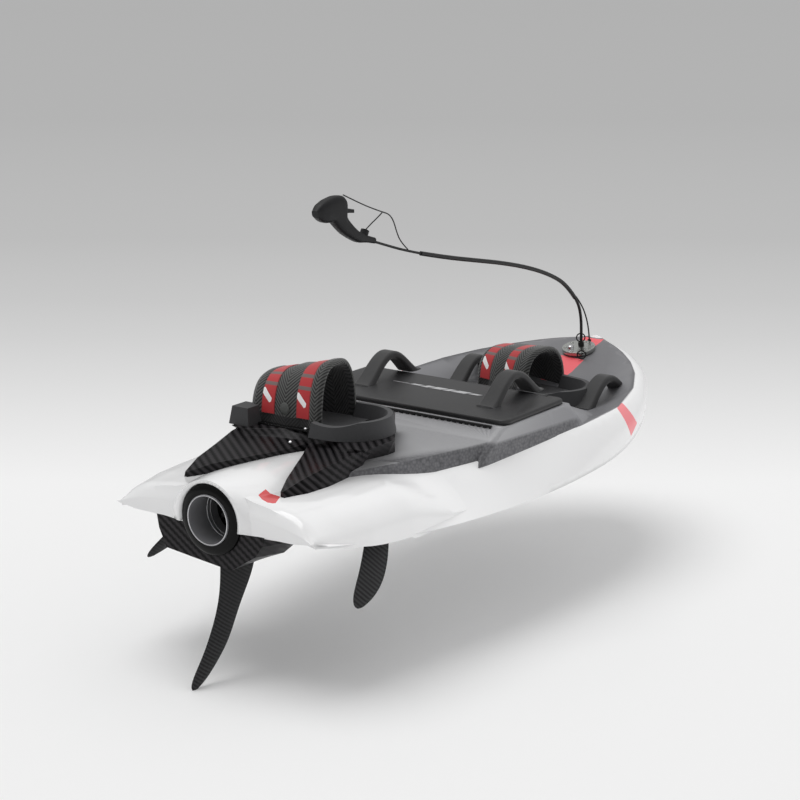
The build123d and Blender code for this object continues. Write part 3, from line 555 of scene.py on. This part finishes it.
# The stern quarters are faired in polyester filler and gelcoat from the jet's ridge out to a rounded rail,
# which fills the hollow beside the outlet. They are sanded into the hull's sides ahead of the rear binding.
# The fairing's inner edge, and how deep its root reaches under the hull's face.
QUARTER_IN = 75.0
QUARTER_ROOT = 10.0
# The rail's outer edge: y and x from the wing tip to the end of the filler.
RAIL_X = [(-881, 271), (-700, 300), (-560, 313), (-400, 322), (-320, 326)]
# Share of the way from the ridge to the rail, and height there: at the transom, and 100 mm before it.
CREST_AFT = [(0, 93), (0.37, 81), (0.66, 69), (0.83, 53), (0.94, 37), (1, 24)]
CREST_FORE = [(0, 86), (0.35, 83), (0.6, 79), (0.75, 72), (0.86, 59), (0.94, 40), (1, 12)]
CREST_BLEND = (-780.0, 100.0)
# The lower edge of the wing tip, x and z: aft of WING_FROM it stands free behind the hull's end.
WING_FOOT = [(75, 9), (135, 13.7), (188, 13.3), (224, 13.9), (271, 20)]
WING_FROM = -872.0
HULL_END = -866.0
# Sections along y: close together round the tip, then even as far as the middle of the hull.
TIP_SECTIONS = [-881.0, -880.0, -878.5, -876.0, -873.0]
EVEN_SECTIONS = (-869.0, -330.0, 50)
POINTS_ACROSS = 26
# Start and length of the fade towards the bow, and how deep the faded filler's skin lies under the hull's.
FADE = (-335.0, 250.0)
SUNK = 1.5
# Start and radius of the rounded edge over the transom.
EDGE = (-851.0, 34.6)
# Metres above the waterline, over the whole hull, from which hull_top looks down.
RAY_FROM = 0.3

hull_mesh = frame["nodes"]["hull"].data
hull_corners = [corner.co[:] for corner in hull_mesh.vertices]
hull_faces = BVHTree.FromPolygons(hull_corners, [face.vertices[:] for face in hull_mesh.polygons])


def hull_top(x, y):
    """Height of the hull's top face in mm, at its end for points behind it, or None beside it."""
    above = Vector((x * MM, max(y, HULL_END) * MM, RAY_FROM))
    found = hull_faces.ray_cast(above, Vector((0, 0, -1)))
    return found[0] and found[0].z / MM


pieces = []
for side in (1, -1):
    sections = []
    for y in np.concatenate([TIP_SECTIONS, np.linspace(*EVEN_SECTIONS)]):
        share = np.linspace(0, 1, POINTS_ACROSS)
        x = QUARTER_IN + (np.interp(y, *np.transpose(RAIL_X)) - QUARTER_IN) * share
        own = np.array([hull_top(side * across, y) or np.nan for across in x])
        own = np.interp(share, share[~np.isnan(own)], own[~np.isnan(own)])
        crest = np.interp(share, *np.transpose(CREST_FORE))
        aft = np.clip((CREST_BLEND[0] - y) / CREST_BLEND[1], 0, 1)
        crest += (np.interp(share, *np.transpose(CREST_AFT)) - crest) * aft
        # The filler's share of the gap fades as a smooth step 3 t^2 - 2 t^3 towards the middle of the hull.
        t = np.clip((FADE[0] - y) / FADE[1], 0, 1)
        raised = np.maximum(crest - own + SUNK, 0) * (3 * t**2 - 2 * t**3)
        low = np.interp(x, *np.transpose(WING_FOOT)) if y < WING_FROM else own - QUARTER_ROOT
        top = np.maximum(own - SUNK + raised, low + 1)
        # The edge over the transom is a quarter round, sqrt(1 - r^2) of its height, cut off at r = 0.87.
        rounded = np.clip((EDGE[0] - y) / EDGE[1], 0, 1)
        top = low + (top - low) * math.sqrt(1 - rounded**2)
        loop = np.concatenate([np.column_stack([x, top]), np.column_stack([x, low])[::-1]])
        sections.append(np.column_stack([side * loop[:, 0], np.full(len(loop), y), loop[:, 1]]))
    pieces.append(surface(f"stern_quarter_{side}", np.stack(sections), gelcoat, caps=True))
quarters = joined("stern_quarters", pieces)
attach(quarters, "board")


# The battery is one lift-out box: a black moulded case, a lid with rounded edges on a rubber seal,
# a row of silver inlays bonded into it, and two soft loops to carry it by.
LID_TOP = 139.0
# Each inlay from x to x, its half width along y, and how far its ends lean, from the lid's middle.
INLAYS = [
    (-146, -98, 2.2, 0),
    (-90, -58, 5.0, 5),
    (-51, -31, 9.0, 7),
    (-25, 9, 9.0, 7),
    (14, 34, 9.0, 7),
    (40, 79, 9.0, 7),
    (85, 114, 5.0, 5),
]

# Moulded ABS: near black, with an etched grain that breaks its sheen up.
settings = {"Roughness": 0.46, "IOR": 1.46}
lid_plastic = plain("etched_black_abs", "#232324", "#2C2C2D", 900.0, settings, relief=0.25)
# EPDM rubber: dead matt and nearly black.
seal_rubber = plain("epdm_rubber", "#0C0C0C", "#141414", 200.0, {"Roughness": 0.8}, relief=0.1)
# Over-moulded soft rubber: even, matt, a little dusty on its broad faces.
settings = {"Roughness": 0.66, "Sheen Weight": 0.15}
loop_rubber = plain("overmoulded_soft_rubber", "#1F1F20", "#29292A", 90.0, settings, relief=0.12)
# Brushed aluminium: pale and softly bright.
settings = {"Roughness": 0.3, "Metallic": 0.7}
silver = plain("brushed_silver_inlay", "#C9C9CC", "#E4E4E6", 220.0, settings)

skin("battery_case", lid_plastic, angle=30.0)
skin("battery_lid", lid_plastic, angle=30.0)
skin("lid_seal", seal_rubber, angle=30.0)
pieces = []
for k, (x0, x1, half, lean) in enumerate(INLAYS):
    base = np.array([(x0 - lean, -half), (x1 - lean, -half), (x1 + lean, half), (x0 + lean, half)], float)
    rings = [np.column_stack([base, np.full(4, z)]) for z in (LID_TOP - 0.2, LID_TOP + 0.5)]
    pieces.append(surface(f"inlay_{k}", np.stack(rings), silver, caps=True, smooth=False))
inlays = joined("lid_inlays", pieces)
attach(inlays, "battery")
for name in ("lid_handle_port", "lid_handle_starboard", "deck_handle_port", "deck_handle_starboard"):
    skin(name, loop_rubber, angle=50.0)

# A toothed comb under the lid's rear edge lets air out of the well and keeps weed out.
# It is moulded in black nylon: darker than the lid, satin, with a faint grain.
comb_plastic = plain("moulded_black_nylon", "#0D0D0E", "#161617", 300.0, {"Roughness": 0.5}, relief=0.1)
skin("vent_comb", comb_plastic, angle=30.0)


# Bindings: a padded arch over the foot, covered in herringbone cloth over foam, two red webs that pull
# it down, a moulded EVA heel cup, a ribbed foot pad, and a black base plate bolted to the deck.
# In mm: the pad's thickness; the webs' half width, half thickness, gap from the pad and height of their
# feet over the plate; the swell between the webs and its fade at each mouth; the plate's thickness.
PAD_T = 13.0
WEB_HALF = 18.5
WEB_HALF_T = 1.3
WEB_GAP = 1.5
WEB_START = 22.0
LOBE = 4.5
LOBE_FADE = (14.0, 6.0)
BASE_T = 4.0
# The arch's power and sections, and the powers and points of the pad's and the webs' rounded sections.
ARCH_POWER = 2.7
ARCH_STEPS = 72
PAD_ROUND = ((0.35, 0.5), 120)
WEB_ROUND = ((0.2, 0.5), 40)
# First and last of the pad's strips that are lined: those on its inner side, and a few at one edge.
LINED = (58, 115)
# x, y, turn in degrees, deck level, tunnel from x to x, half span, low and high crown z, both webs' x.
BINDINGS = {
    "rear": (-89, -440, 3, 144, -96, 99, 77, 250, 298, -46, 52),
    "front": (-45, 445, -12, 46, -95, 85, 76, 146, 166, -62, 18),
}


def arch_sweep(row, x, proud, start=0.0):
    """Carries a closed outline (x along the tunnel, proud of the pad's middle) over the foot.

    At each x the arch is a superellipse, y = -h cos^(2/n) a and z = r sin^(2/n) a, with h the half
    span and r the rise, both grown by how proud the point stands; a runs from the aft foot to the
    fore foot. The points are then spread evenly between the two heights where the arch starts and
    ends. The map holds x and the length along the arch.
    """
    place_x, place_y, turn, level, x0, x1, half, low, high = row[:9]
    floor = level + BASE_T
    rise = (low + (high - low) * (x - x0) / (x1 - x0) - floor - PAD_T / 2)[None, :] + proud[None, :]
    wide = (half - PAD_T / 2) + proud[None, :]
    angle = np.linspace(0.0, np.pi, ARCH_STEPS)[:, None]
    power = 2 / ARCH_POWER
    y = -wide * np.sign(np.cos(angle)) * np.abs(np.cos(angle)) ** power
    z = rise * np.abs(np.sin(angle)) ** power
    run = np.sqrt(np.diff(y, axis=0) ** 2 + np.diff(z, axis=0) ** 2)
    length = np.vstack([np.zeros((1, x.size)), np.cumsum(run, axis=0)])
    even = np.linspace(0, 1, ARCH_STEPS)
    for column in range(x.size):
        whole = length[:, column]
        low_end = np.interp(start, z[: ARCH_STEPS // 2, column], whole[: ARCH_STEPS // 2])
        wanted = low_end + (whole[-1] - 2 * low_end) * even
        y[:, column] = np.interp(wanted, whole, y[:, column])
        z[:, column] = np.interp(wanted, whole, z[:, column])
        length[:, column] = wanted
    around = math.radians(turn)
    across = np.broadcast_to(x[None, :], y.shape)
    points = np.stack(
        [
            place_x + across * math.cos(around) - y * math.sin(around),
            place_y + across * math.sin(around) + y * math.cos(around),
            floor + z,
        ],
        -1,
    )
    return points, np.stack([across, length], -1)


def herringbone(name, centres, dark, light, pitch, rough):
    """Twill that turns back at each lobe's middle: stripes of v - 1.1 |u - middle|, seen as chevrons."""
    made, tree, out, place = new_material(name)
    cloth = add(tree, "ShaderNodeUVMap", {"uv_map": "along"})
    axes = add(tree, "ShaderNodeSeparateXYZ", {}, {0: cloth.outputs["UV"]})
    fold = None
    for centre in centres:
        off = add(tree, "ShaderNodeMath", {"operation": "SUBTRACT", 1: centre * MM}, {0: axes.outputs["X"]})
        size = add(tree, "ShaderNodeMath", {"operation": "ABSOLUTE"}, {0: off.outputs[0]}).outputs[0]
        if fold is None:
            fold = size
        else:
            fold = add(tree, "ShaderNodeMath", {"operation": "MINIMUM"}, {0: fold, 1: size}).outputs[0]
    slant = {"operation": "MULTIPLY_ADD", 1: -1.1}
    lean = add(tree, "ShaderNodeMath", slant, {0: fold, 2: axes.outputs["Y"]})
    once = {"operation": "MULTIPLY", 1: 2 * math.pi / (pitch * MM)}
    turns = add(tree, "ShaderNodeMath", once, {0: lean.outputs[0]})
    wave = add(tree, "ShaderNodeMath", {"operation": "SINE"}, {0: turns.outputs[0]})
    limits = {"From Min": -0.5, "From Max": 0.6}
    stripe = add(tree, "ShaderNodeMapRange", limits, {"Value": wave.outputs[0]}).outputs["Result"]
    yarn = add(tree, "ShaderNodeTexNoise", {"Scale": 1400.0, "Detail": 1.0}, {"Vector": place})
    tones = {"data_type": "RGBA", 6: linear(dark), 7: linear(light)}
    tone = add(tree, "ShaderNodeMix", tones, {0: stripe}).outputs[2]
    worn = add(tree, "ShaderNodeMath", {"operation": "MULTIPLY", 1: 0.4}, {0: yarn.outputs["Fac"]})
    tones = {"data_type": "RGBA", 7: linear(dark)}
    tone = add(tree, "ShaderNodeMix", tones, {0: worn.outputs[0], 6: tone}).outputs[2]
    # The lowest 20 mm at the aft foot is plain black facing, to which the plate's edge is bolted.
    foot = add(tree, "ShaderNodeMath", {"operation": "LESS_THAN", 1: 20 * MM}, {0: axes.outputs["Y"]})
    tones = {"data_type": "RGBA", 7: linear("#0B0B0C")}
    tone = add(tree, "ShaderNodeMix", tones, {0: foot.outputs[0], 6: tone}).outputs[2]
    bump = add(tree, "ShaderNodeBump", {"Strength": 0.6, "Distance": 0.0012}, {"Height": stripe})
    settings = {"Roughness": rough, "Sheen Weight": 0.25, "Sheen Roughness": 0.5}
    links = {"Base Color": tone, "Normal": bump.outputs["Normal"]}
    shader = add(tree, "ShaderNodeBsdfPrincipled", settings, links)
    tree.links.new(shader.outputs["BSDF"], out.inputs["Surface"])
    return made


def webbing(name):
    """Red web seen flat: two grey keeper bands, a slanted white bar, and darker stitched edges."""
    made, tree, out, _ = new_material(name)
    flat = add(tree, "ShaderNodeUVMap", {"uv_map": "along"}).outputs["UV"]
    axes = add(tree, "ShaderNodeSeparateXYZ", {}, {0: flat})
    ribs = add(tree, "ShaderNodeTexWave", {"Scale": 140.0, "bands_direction": "Y"}, {"Vector": flat})
    reds = {"data_type": "RGBA", 6: linear("#A31A20"), 7: linear("#BC2429")}
    red = add(tree, "ShaderNodeMix", reds, {0: ribs.outputs["Fac"]}).outputs[2]
    size = add(tree, "ShaderNodeMath", {"operation": "ABSOLUTE"}, {0: axes.outputs["X"]})
    beyond = {"operation": "GREATER_THAN", 1: EDGE_STITCH * MM}
    edge = add(tree, "ShaderNodeMath", beyond, {0: size.outputs[0]})
    marks = [(edge.outputs[0], "#8C161D")]
    for low, high in KEEPERS:
        keeper = [(-KEEPER_HALF, low), (KEEPER_HALF, low), (KEEPER_HALF, high), (-KEEPER_HALF, high)]
        marks.append((inside(tree, flat, keeper), "#6E5A58"))
    marks.append((inside(tree, flat, WHITE_BAR), "#F0EEEE"))
    for mark, colour in marks:
        marked = {"data_type": "RGBA", 7: linear(colour)}
        red = add(tree, "ShaderNodeMix", marked, {0: mark, 6: red}).outputs[2]
    ribbed = {"Strength": 0.3, "Distance": 0.0006}
    bump = add(tree, "ShaderNodeBump", ribbed, {"Height": ribs.outputs["Fac"]})
    settings = {"Roughness": 0.6, "Sheen Weight": 0.2}
    links = {"Base Color": red, "Normal": bump.outputs["Normal"]}
    shader = add(tree, "ShaderNodeBsdfPrincipled", settings, links)
    tree.links.new(shader.outputs["BSDF"], out.inputs["Surface"])
    return made


# On the flat web, in mm from its middle and along it: the bar, the keeper bands and the edge stitching.
WHITE_BAR = [(-19, 80), (-14, 81), (9, 58), (8, 50), (3, 47), (-19, 68)]
KEEPERS = [(88, 97), (118, 127)]
KEEPER_HALF = 25
EDGE_STITCH = 16.4
# Polyester webbing, dyed red: ribs across it about 2 mm apart, matt, with a little fuzz.
red_web = webbing("red_polyester_webbing")
# Moulded EVA foam: an even dark grey skin, matt, with fine closed cells.
settings = {"Roughness": 0.72, "Sheen Weight": 0.1}
eva = plain("moulded_eva_foam", "#2D2D2F", "#38383A", 420.0, settings, relief=0.25)
# Glass-filled nylon plate, moulded glossy black.
plate_nylon = plain("glossy_black_nylon", "#0B0B0C", "#131314", 80.0, {"Roughness": 0.22})
# Polished stainless steel: small sharp highlights.
settings = {"Roughness": 0.16, "Metallic": 1.0}
bolt_steel = plain("polished_stainless_steel", "#C4C4C6", "#DADADC", 150.0, settings)
# Soft rubber, mid grey and dull.
tab_rubber = plain("grey_rubber_tab", "#464846", "#525452", 200.0, {"Roughness": 0.6}, relief=0.15)


def superloop(half_x, half_n, power, count):
    """A closed rounded oblong: x = a cos^p t and n = b sin^p t, signs kept."""
    t = np.linspace(0, 2 * np.pi, count, endpoint=False)
    x = half_x * np.sign(np.cos(t)) * np.abs(np.cos(t)) ** power[0]
    n = half_n * np.sign(np.sin(t)) * np.abs(np.sin(t)) ** power[1]
    return x, n


for name, row in BINDINGS.items():
    x0, x1, webs = row[4], row[5], row[9:11]
    floor = row[3] + BASE_T
    lobes = [(x0 + webs[0] - WEB_HALF) / 2, sum(webs) / 2, (x1 + webs[1] + WEB_HALF) / 2]
    cloth = herringbone(f"{name}_herringbone_polyester", lobes, "#0B0B0C", "#565755", 9.5, 0.75)
    lining = herringbone(f"{name}_ribbed_neoprene_lining", lobes, "#080809", "#39393A", 11.0, 0.8)
    x, n = superloop((x1 - x0) / 2, PAD_T / 2, *PAD_ROUND)
    x = x + (x0 + x1) / 2
    # The cloth swells between the webs and at the tunnel's mouth, and each web presses it back to the foam.
    pressed = sum(np.exp(-(((x - w) / (WEB_HALF + 1)) ** 6)) for w in webs)
    ends = np.clip((x - x0) / LOBE_FADE[0], 0, 1) * np.clip((x1 - x) / LOBE_FADE[1], 0, 1)
    n = n + np.where(n > 0, LOBE * np.clip(1 - pressed, 0, 1) * ends, 0)
    points, uv = arch_sweep(row, x, n)
    pad = surface(f"{name}_arch_pad", points, cloth, caps=True, uv=uv)
    pad.data.materials.append(lining)
    inner = np.zeros(len(pad.data.polygons), np.int32)
    column = np.tile(np.arange(x.size), ARCH_STEPS - 1)
    inner[: column.size] = (column >= LINED[0]) & (column <= LINED[1])
    pad.data.polygons.foreach_set("material_index", inner)
    dressed(pad, f"{name}_strap_pad")
    for label, middle in zip(("aft", "fore"), webs):
        x, n = superloop(WEB_HALF, WEB_HALF_T, *WEB_ROUND)
        points, uv = arch_sweep(row, x + middle, n + PAD_T / 2 + WEB_GAP, WEB_START)
        uv[..., 0] -= middle
        web = surface(f"{name}_red_web_{label}", points, red_web, caps=True, uv=uv)
        dressed(web, f"{name}_strap_{label}")
    skin(f"{name}_heel_block", eva, angle=26.0, edge=1.6 * MM)
    skin(f"{name}_foot_pad", eva, angle=26.0, edge=0.8 * MM)
    skin(f"{name}_binding_plate", plate_nylon, angle=26.0, edge=0.6 * MM)
skin("rear_toe_block", eva, angle=26.0, edge=2.2 * MM)

# The small tab between the rear webs is a rubber pull, sewn to the pad and pressed flat against it.
# In mm: its middle along the tunnel and over the plate, how deep it is pressed in, and its half sizes.
TAB_X = 3.0
TAB_Z = 39.0
TAB_SUNK = 1.0
TAB_SIZE = (13.0, 14.5, 3.4)
TAB_GRID = (15, 32)
rear = BINDINGS["rear"]
u = np.linspace(-np.pi / 2, np.pi / 2, TAB_GRID[0])[:, None]
v = np.linspace(0, 2 * np.pi, TAB_GRID[1], endpoint=False)[None, :]
# A flattened ellipsoid: x = a cos u cos v, z = b cos u sin v, y = c sin u.
tab_x = TAB_X + TAB_SIZE[0] * np.cos(u) * np.cos(v)
tab_z = TAB_Z + TAB_SIZE[1] * np.cos(u) * np.sin(v)
tab_y = -(rear[6] + LOBE - TAB_SUNK) + TAB_SIZE[2] * np.sin(u) + 0 * v
angle = math.radians(rear[2])
tab_points = np.stack(
    [
        rear[0] + tab_x * math.cos(angle) - tab_y * math.sin(angle),
        rear[1] + tab_x * math.sin(angle) + tab_y * math.cos(angle),
        rear[3] + BASE_T + tab_z,
    ],
    -1,
)
tab = surface("rear_pull_tab", tab_points, tab_rubber, caps=True)
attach(tab, "board")

# Bright domed heads on the bolts of both base plates, and one on the carbon behind the rear pad.
BOLT_DOME = [(0.3, 2.9), (2.2, 2.7), (3.8, 2.0), (4.9, 0.9), (5.3, 0.0), (5.3, -0.6)]
# How far the bolts stand in from the tunnel's two mouths, out from the arch, and over the plate, in mm.
BOLT_IN = (24, 34)
BOLT_OUT = 8.5
BOLT_SEAT = 2.0
SHROUD_BOLT = (-39.0, -556.0, 122.4)
SHROUD_BOLT_LEAN = 36.0
AROUND_HEAD = 24


def upright(name, profile, material, centre, tilt=0.0):
    """A profile of (radius, height) carried round an upright line, then leaned towards the stern by tilt.

    x = r cos a and y = r sin a before the lean, which turns y and z about the x axis.
    """
    profile = np.array(profile, float)
    angle = np.linspace(0, 2 * np.pi, AROUND_HEAD, endpoint=False)
    r, h = profile[:, :1], profile[:, 1:]
    x, y, z = r * np.cos(angle), r * np.sin(angle), h + 0 * angle
    c, s = math.cos(math.radians(tilt)), math.sin(math.radians(tilt))
    points = np.stack([x, y * c - z * s, y * s + z * c], -1)
    return surface(name, points + np.array(centre, float), material, caps=True)


heads = []
for name, row in BINDINGS.items():
    around = math.radians(row[2])
    for side in (-1, 1):
        for off in (row[4] + BOLT_IN[0], row[5] - BOLT_IN[1]):
            away = side * (row[6] + BOLT_OUT)
            spot = (
                row[0] + off * math.cos(around) - away * math.sin(around),
                row[1] + off * math.sin(around) + away * math.cos(around),
                row[3] + BASE_T + BOLT_SEAT,
            )
            heads.append(upright(f"bolt_{len(heads)}", BOLT_DOME, bolt_steel, spot))
heads.append(upright("bolt_shroud", BOLT_DOME, bolt_steel, SHROUD_BOLT, SHROUD_BOLT_LEAN))
bolts = joined("bolt_heads", heads)
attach(bolts, "board")


# Bow plate: a turned stainless disc, screwed down over the tether's anchor, with a polished release knob.
# Two rubber rings keep the tether and its second cord together.
KNOB_PROFILE = [(0.4, 9.0), (5.0, 8.6), (7.6, 7.2), (8.6, 4.8), (8.6, 1.5), (9.6, 0.0), (9.6, -2.0)]
KNOB_AT = (-14.6, 642.4, 119.2)
KNOB_LEAN = 11.0
# The disc's centre in metres, which its lathe marks run round.
LATHE_CENTRE = (0.0, 0.660, 0.118)
# The rubber rings: radius, half thickness, points round each and round its section, and where they hang.
RING_R = 11.4
RING_TUBE = 1.7
RING_GRID = (48, 12)
RINGS = [(3.0, 664.5, 147.0), (35.4, 615.4, 113.0)]

# Turned stainless steel: fine circular lathe marks, which spread its highlights into a soft cross.
turned_steel, tree, out, place = new_material("turned_stainless_steel")
shift = {"Location": [-v for v in LATHE_CENTRE]}
centred = add(tree, "ShaderNodeMapping", shift, {"Vector": place})
rounds = {"wave_type": "RINGS", "rings_direction": "Z", "Scale": 260.0}
marks = add(tree, "ShaderNodeTexWave", rounds, {"Vector": centred.outputs[0]})
tones = {"data_type": "RGBA", 6: linear("#9C9E9B"), 7: linear("#C9CBC8")}
tone = add(tree, "ShaderNodeMix", tones, {0: marks.outputs["Fac"]}).outputs[2]
bump = add(tree, "ShaderNodeBump", {"Strength": 0.1, "Distance": 0.0004}, {"Height": marks.outputs["Fac"]})
settings = {"Metallic": 1.0, "Roughness": 0.24}
links = {"Base Color": tone, "Normal": bump.outputs["Normal"]}
shader = add(tree, "ShaderNodeBsdfPrincipled", settings, links)
tree.links.new(shader.outputs["BSDF"], out.inputs["Surface"])
skin("bow_plate", turned_steel, angle=30.0, edge=0.8 * MM)
knob = upright("release_knob", KNOB_PROFILE, bolt_steel, KNOB_AT, KNOB_LEAN)
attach(knob, "board")
skin("tether_post", seal_rubber, angle=30.0, edge=0.5 * MM)
skin("cord_eye", seal_rubber, angle=30.0, edge=0.4 * MM)

u = np.linspace(0, 2 * np.pi, RING_GRID[0], endpoint=False)[:, None]
v = np.linspace(0, 2 * np.pi, RING_GRID[1], endpoint=False)[None, :]
facing = np.array([math.sin(CAMERA_TURN), -math.cos(CAMERA_TURN), 0.0])
across = np.array([math.cos(CAMERA_TURN), math.sin(CAMERA_TURN), 0.0])
loops = []
for k, spot in enumerate(RINGS):
    # A torus standing upright: (R + r cos v) round the ring and r sin v out of its plane.
    radius = RING_R + RING_TUBE * np.cos(v)
    points = (
        np.array(spot)
        + (radius * np.cos(u))[..., None] * across
        + (radius * np.sin(u))[..., None] * np.array([0.0, 0.0, 1.0])
        + (RING_TUBE * np.sin(v) + 0 * u)[..., None] * facing
    )
    loops.append(surface(f"ring_{k}", points, seal_rubber, (True, True)))
rings = joined("tether_rings", loops)
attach(rings, "board")


# The tether: a stiff sleeve over a core from the bow to the hand control, bare cord at both its ends,
# a thinner second cord, a wrist lanyard and the stop cord. All are braided polyester, dipped in rubber.
# Radius in mm, length in metres, and the control points of the line in mm.
ROUTES = {
    "tether_upper_cord": (
        3.0,
        0.203,
        [(0, -286, 551), (0, -222, 530), (0, -157, 510), (0, -92, 493)],
    ),
    "tether_sleeve": (
        5.5,
        0.771,
        [
            (0, -92, 493),
            (0, 10, 468),
            (0, 138, 441),
            (0, 268, 414),
            (0, 392, 383),
            (0, 502, 347),
            (0, 590, 305),
            (0, 634, 262),
        ],
    ),
    "tether_lower_cord": (
        4.0,
        0.141,
        [(0, 634, 262), (0, 654, 242.5), (0, 668, 205), (0, 672, 170), (0, 672, 132)],
    ),
    "second_cord": (
        2.0,
        0.157,
        [(0, 640, 264), (0, 672, 236), (0, 698, 196), (0, 712, 158), (0, 716, 132)],
    ),
    "wrist_lanyard": (
        1.5,
        0.314,
        [
            (0, -400, 674),
            (0, -349, 652),
            (0, -299, 632),
            (0, -250, 615),
            (0, -222, 606),
            (0, -204, 588),
            (0, -191, 558),
            (0, -175, 533),
            (0, -146, 511),
        ],
    ),
    "stop_cord": (
        1.5,
        0.072,
        [(0, -250, 613), (0, -272, 602), (0, -296, 592), (0, -315, 582)],
    ),
}

# Rubber-dipped braid: nearly black and satin, the braid showing as fine diamonds about 2 mm long.
braid, tree, out, place = new_material("rubber_dipped_braid")
diamonds = add(tree, "ShaderNodeTexVoronoi", {"Scale": 500.0}, {"Vector": place})
diamonds = diamonds.outputs["Distance"]
tones = {"data_type": "RGBA", 6: linear("#121213"), 7: linear("#060607")}
tone = add(tree, "ShaderNodeMix", tones, {0: diamonds}).outputs[2]
bump = add(tree, "ShaderNodeBump", {"Strength": 0.3, "Distance": 0.0004}, {"Height": diamonds})
links = {"Base Color": tone, "Normal": bump.outputs["Normal"]}
shader = add(tree, "ShaderNodeBsdfPrincipled", {"Roughness": 0.48}, links)
tree.links.new(shader.outputs["BSDF"], out.inputs["Surface"])

for name, (radius, length, route) in ROUTES.items():
    curve = bpy.data.curves.new(name + "_line", "CURVE")
    curve.dimensions = "3D"
    curve.bevel_depth = radius * MM
    curve.bevel_resolution = 4
    curve.use_fill_caps = True
    curve.resolution_u = 12
    curve.render_resolution_u = 12
    line = curve.splines.new("NURBS")
    line.points.add(len(route) - 1)
    for point, spot in zip(line.points, route):
        point.co = (spot[0] * MM, spot[1] * MM, spot[2] * MM, 1.0)
    line.order_u = 3
    line.use_endpoint_u = True
    curve.materials.append(braid)
    made = bpy.data.objects.new(name + "_line", curve)
    scene.collection.objects.link(made)
    dressed(made, name)


# The hand control is a pistol grip moulded in glass-filled nylon, its hood and handle one soft-edged
# shell, with a trigger inside the hood and a turned stop knob on a short cord.
# Upper and lower outline seen from the side (y, z), from the hood's front to the foot of the handle.
GRIP_UPPER = [
    (-507, 652),
    (-494, 664),
    (-470, 672.5),
    (-438, 677.5),
    (-410, 675),
    (-397, 663),
    (-400, 648),
    (-403, 633),
    (-393, 619),
    (-375, 603),
    (-352, 585),
    (-310, 568),
    (-284, 560),
]
GRIP_LOWER = [
    (-503, 636),
    (-488, 625),
    (-474, 619.5),
    (-443, 617.5),
    (-436, 609),
    (-424, 598.5),
    (-414, 591),
    (-404, 584),
    (-390, 576),
    (-370, 566),
    (-348, 556.5),
    (-318, 553),
    (-284, 545.5),
]
GRIP_HALF_WIDTHS = [9, 14, 16.5, 16.8, 16.5, 16, 15.5, 15, 14.5, 14, 13, 10, 8]
GRIP_ROUND = 0.62
GRIP_SECTIONS = 61
GRIP_AROUND = 40
SOFTENINGS = 3

upper, lower = np.array(GRIP_UPPER, float), np.array(GRIP_LOWER, float)
stations = np.linspace(0, len(upper) - 1, GRIP_SECTIONS)
knots = np.arange(len(upper))
middle = np.stack([np.interp(stations, knots, (upper + lower)[:, k] / 2) for k in (0, 1)], -1)
reach = np.stack([np.interp(stations, knots, (upper - lower)[:, k] / 2) for k in (0, 1)], -1)
wide = np.interp(stations, knots, GRIP_HALF_WIDTHS)
# Each softening takes a quarter of both neighbours and half of the value itself.
for _ in range(SOFTENINGS):
    for values in (middle, reach):
        values[1:-1] = (values[:-2] + 2 * values[1:-1] + values[2:]) / 4
# Rounded oblong sections: out to the side by w cos^p t and up or down by half the gap times sin^p t.
t = np.linspace(0, 2 * np.pi, GRIP_AROUND, endpoint=False)[None, :]
side = np.sign(np.cos(t)) * np.abs(np.cos(t)) ** GRIP_ROUND
up = np.sign(np.sin(t)) * np.abs(np.sin(t)) ** GRIP_ROUND
points = np.stack(
    [
        wide[:, None] * side,
        middle[:, :1] + reach[:, :1] * up,
        middle[:, 1:] + reach[:, 1:] * up,
    ],
    -1,
)
# Glass-filled nylon: charcoal black, spark-eroded to a fine matt grain.
settings = {"Roughness": 0.5, "IOR": 1.5, "Specular IOR Level": 0.3}
grip_nylon = plain("spark_eroded_black_nylon", "#0D0D0F", "#161618", 500.0, settings, relief=0.3)
grip = surface("pistol_grip", points, grip_nylon, caps=True)
dressed(grip, "control_grip")
skin("control_trigger", grip_nylon, angle=30.0, edge=0.8 * MM)
skin("stop_knob", grip_nylon, angle=30.0, edge=1.2 * MM)
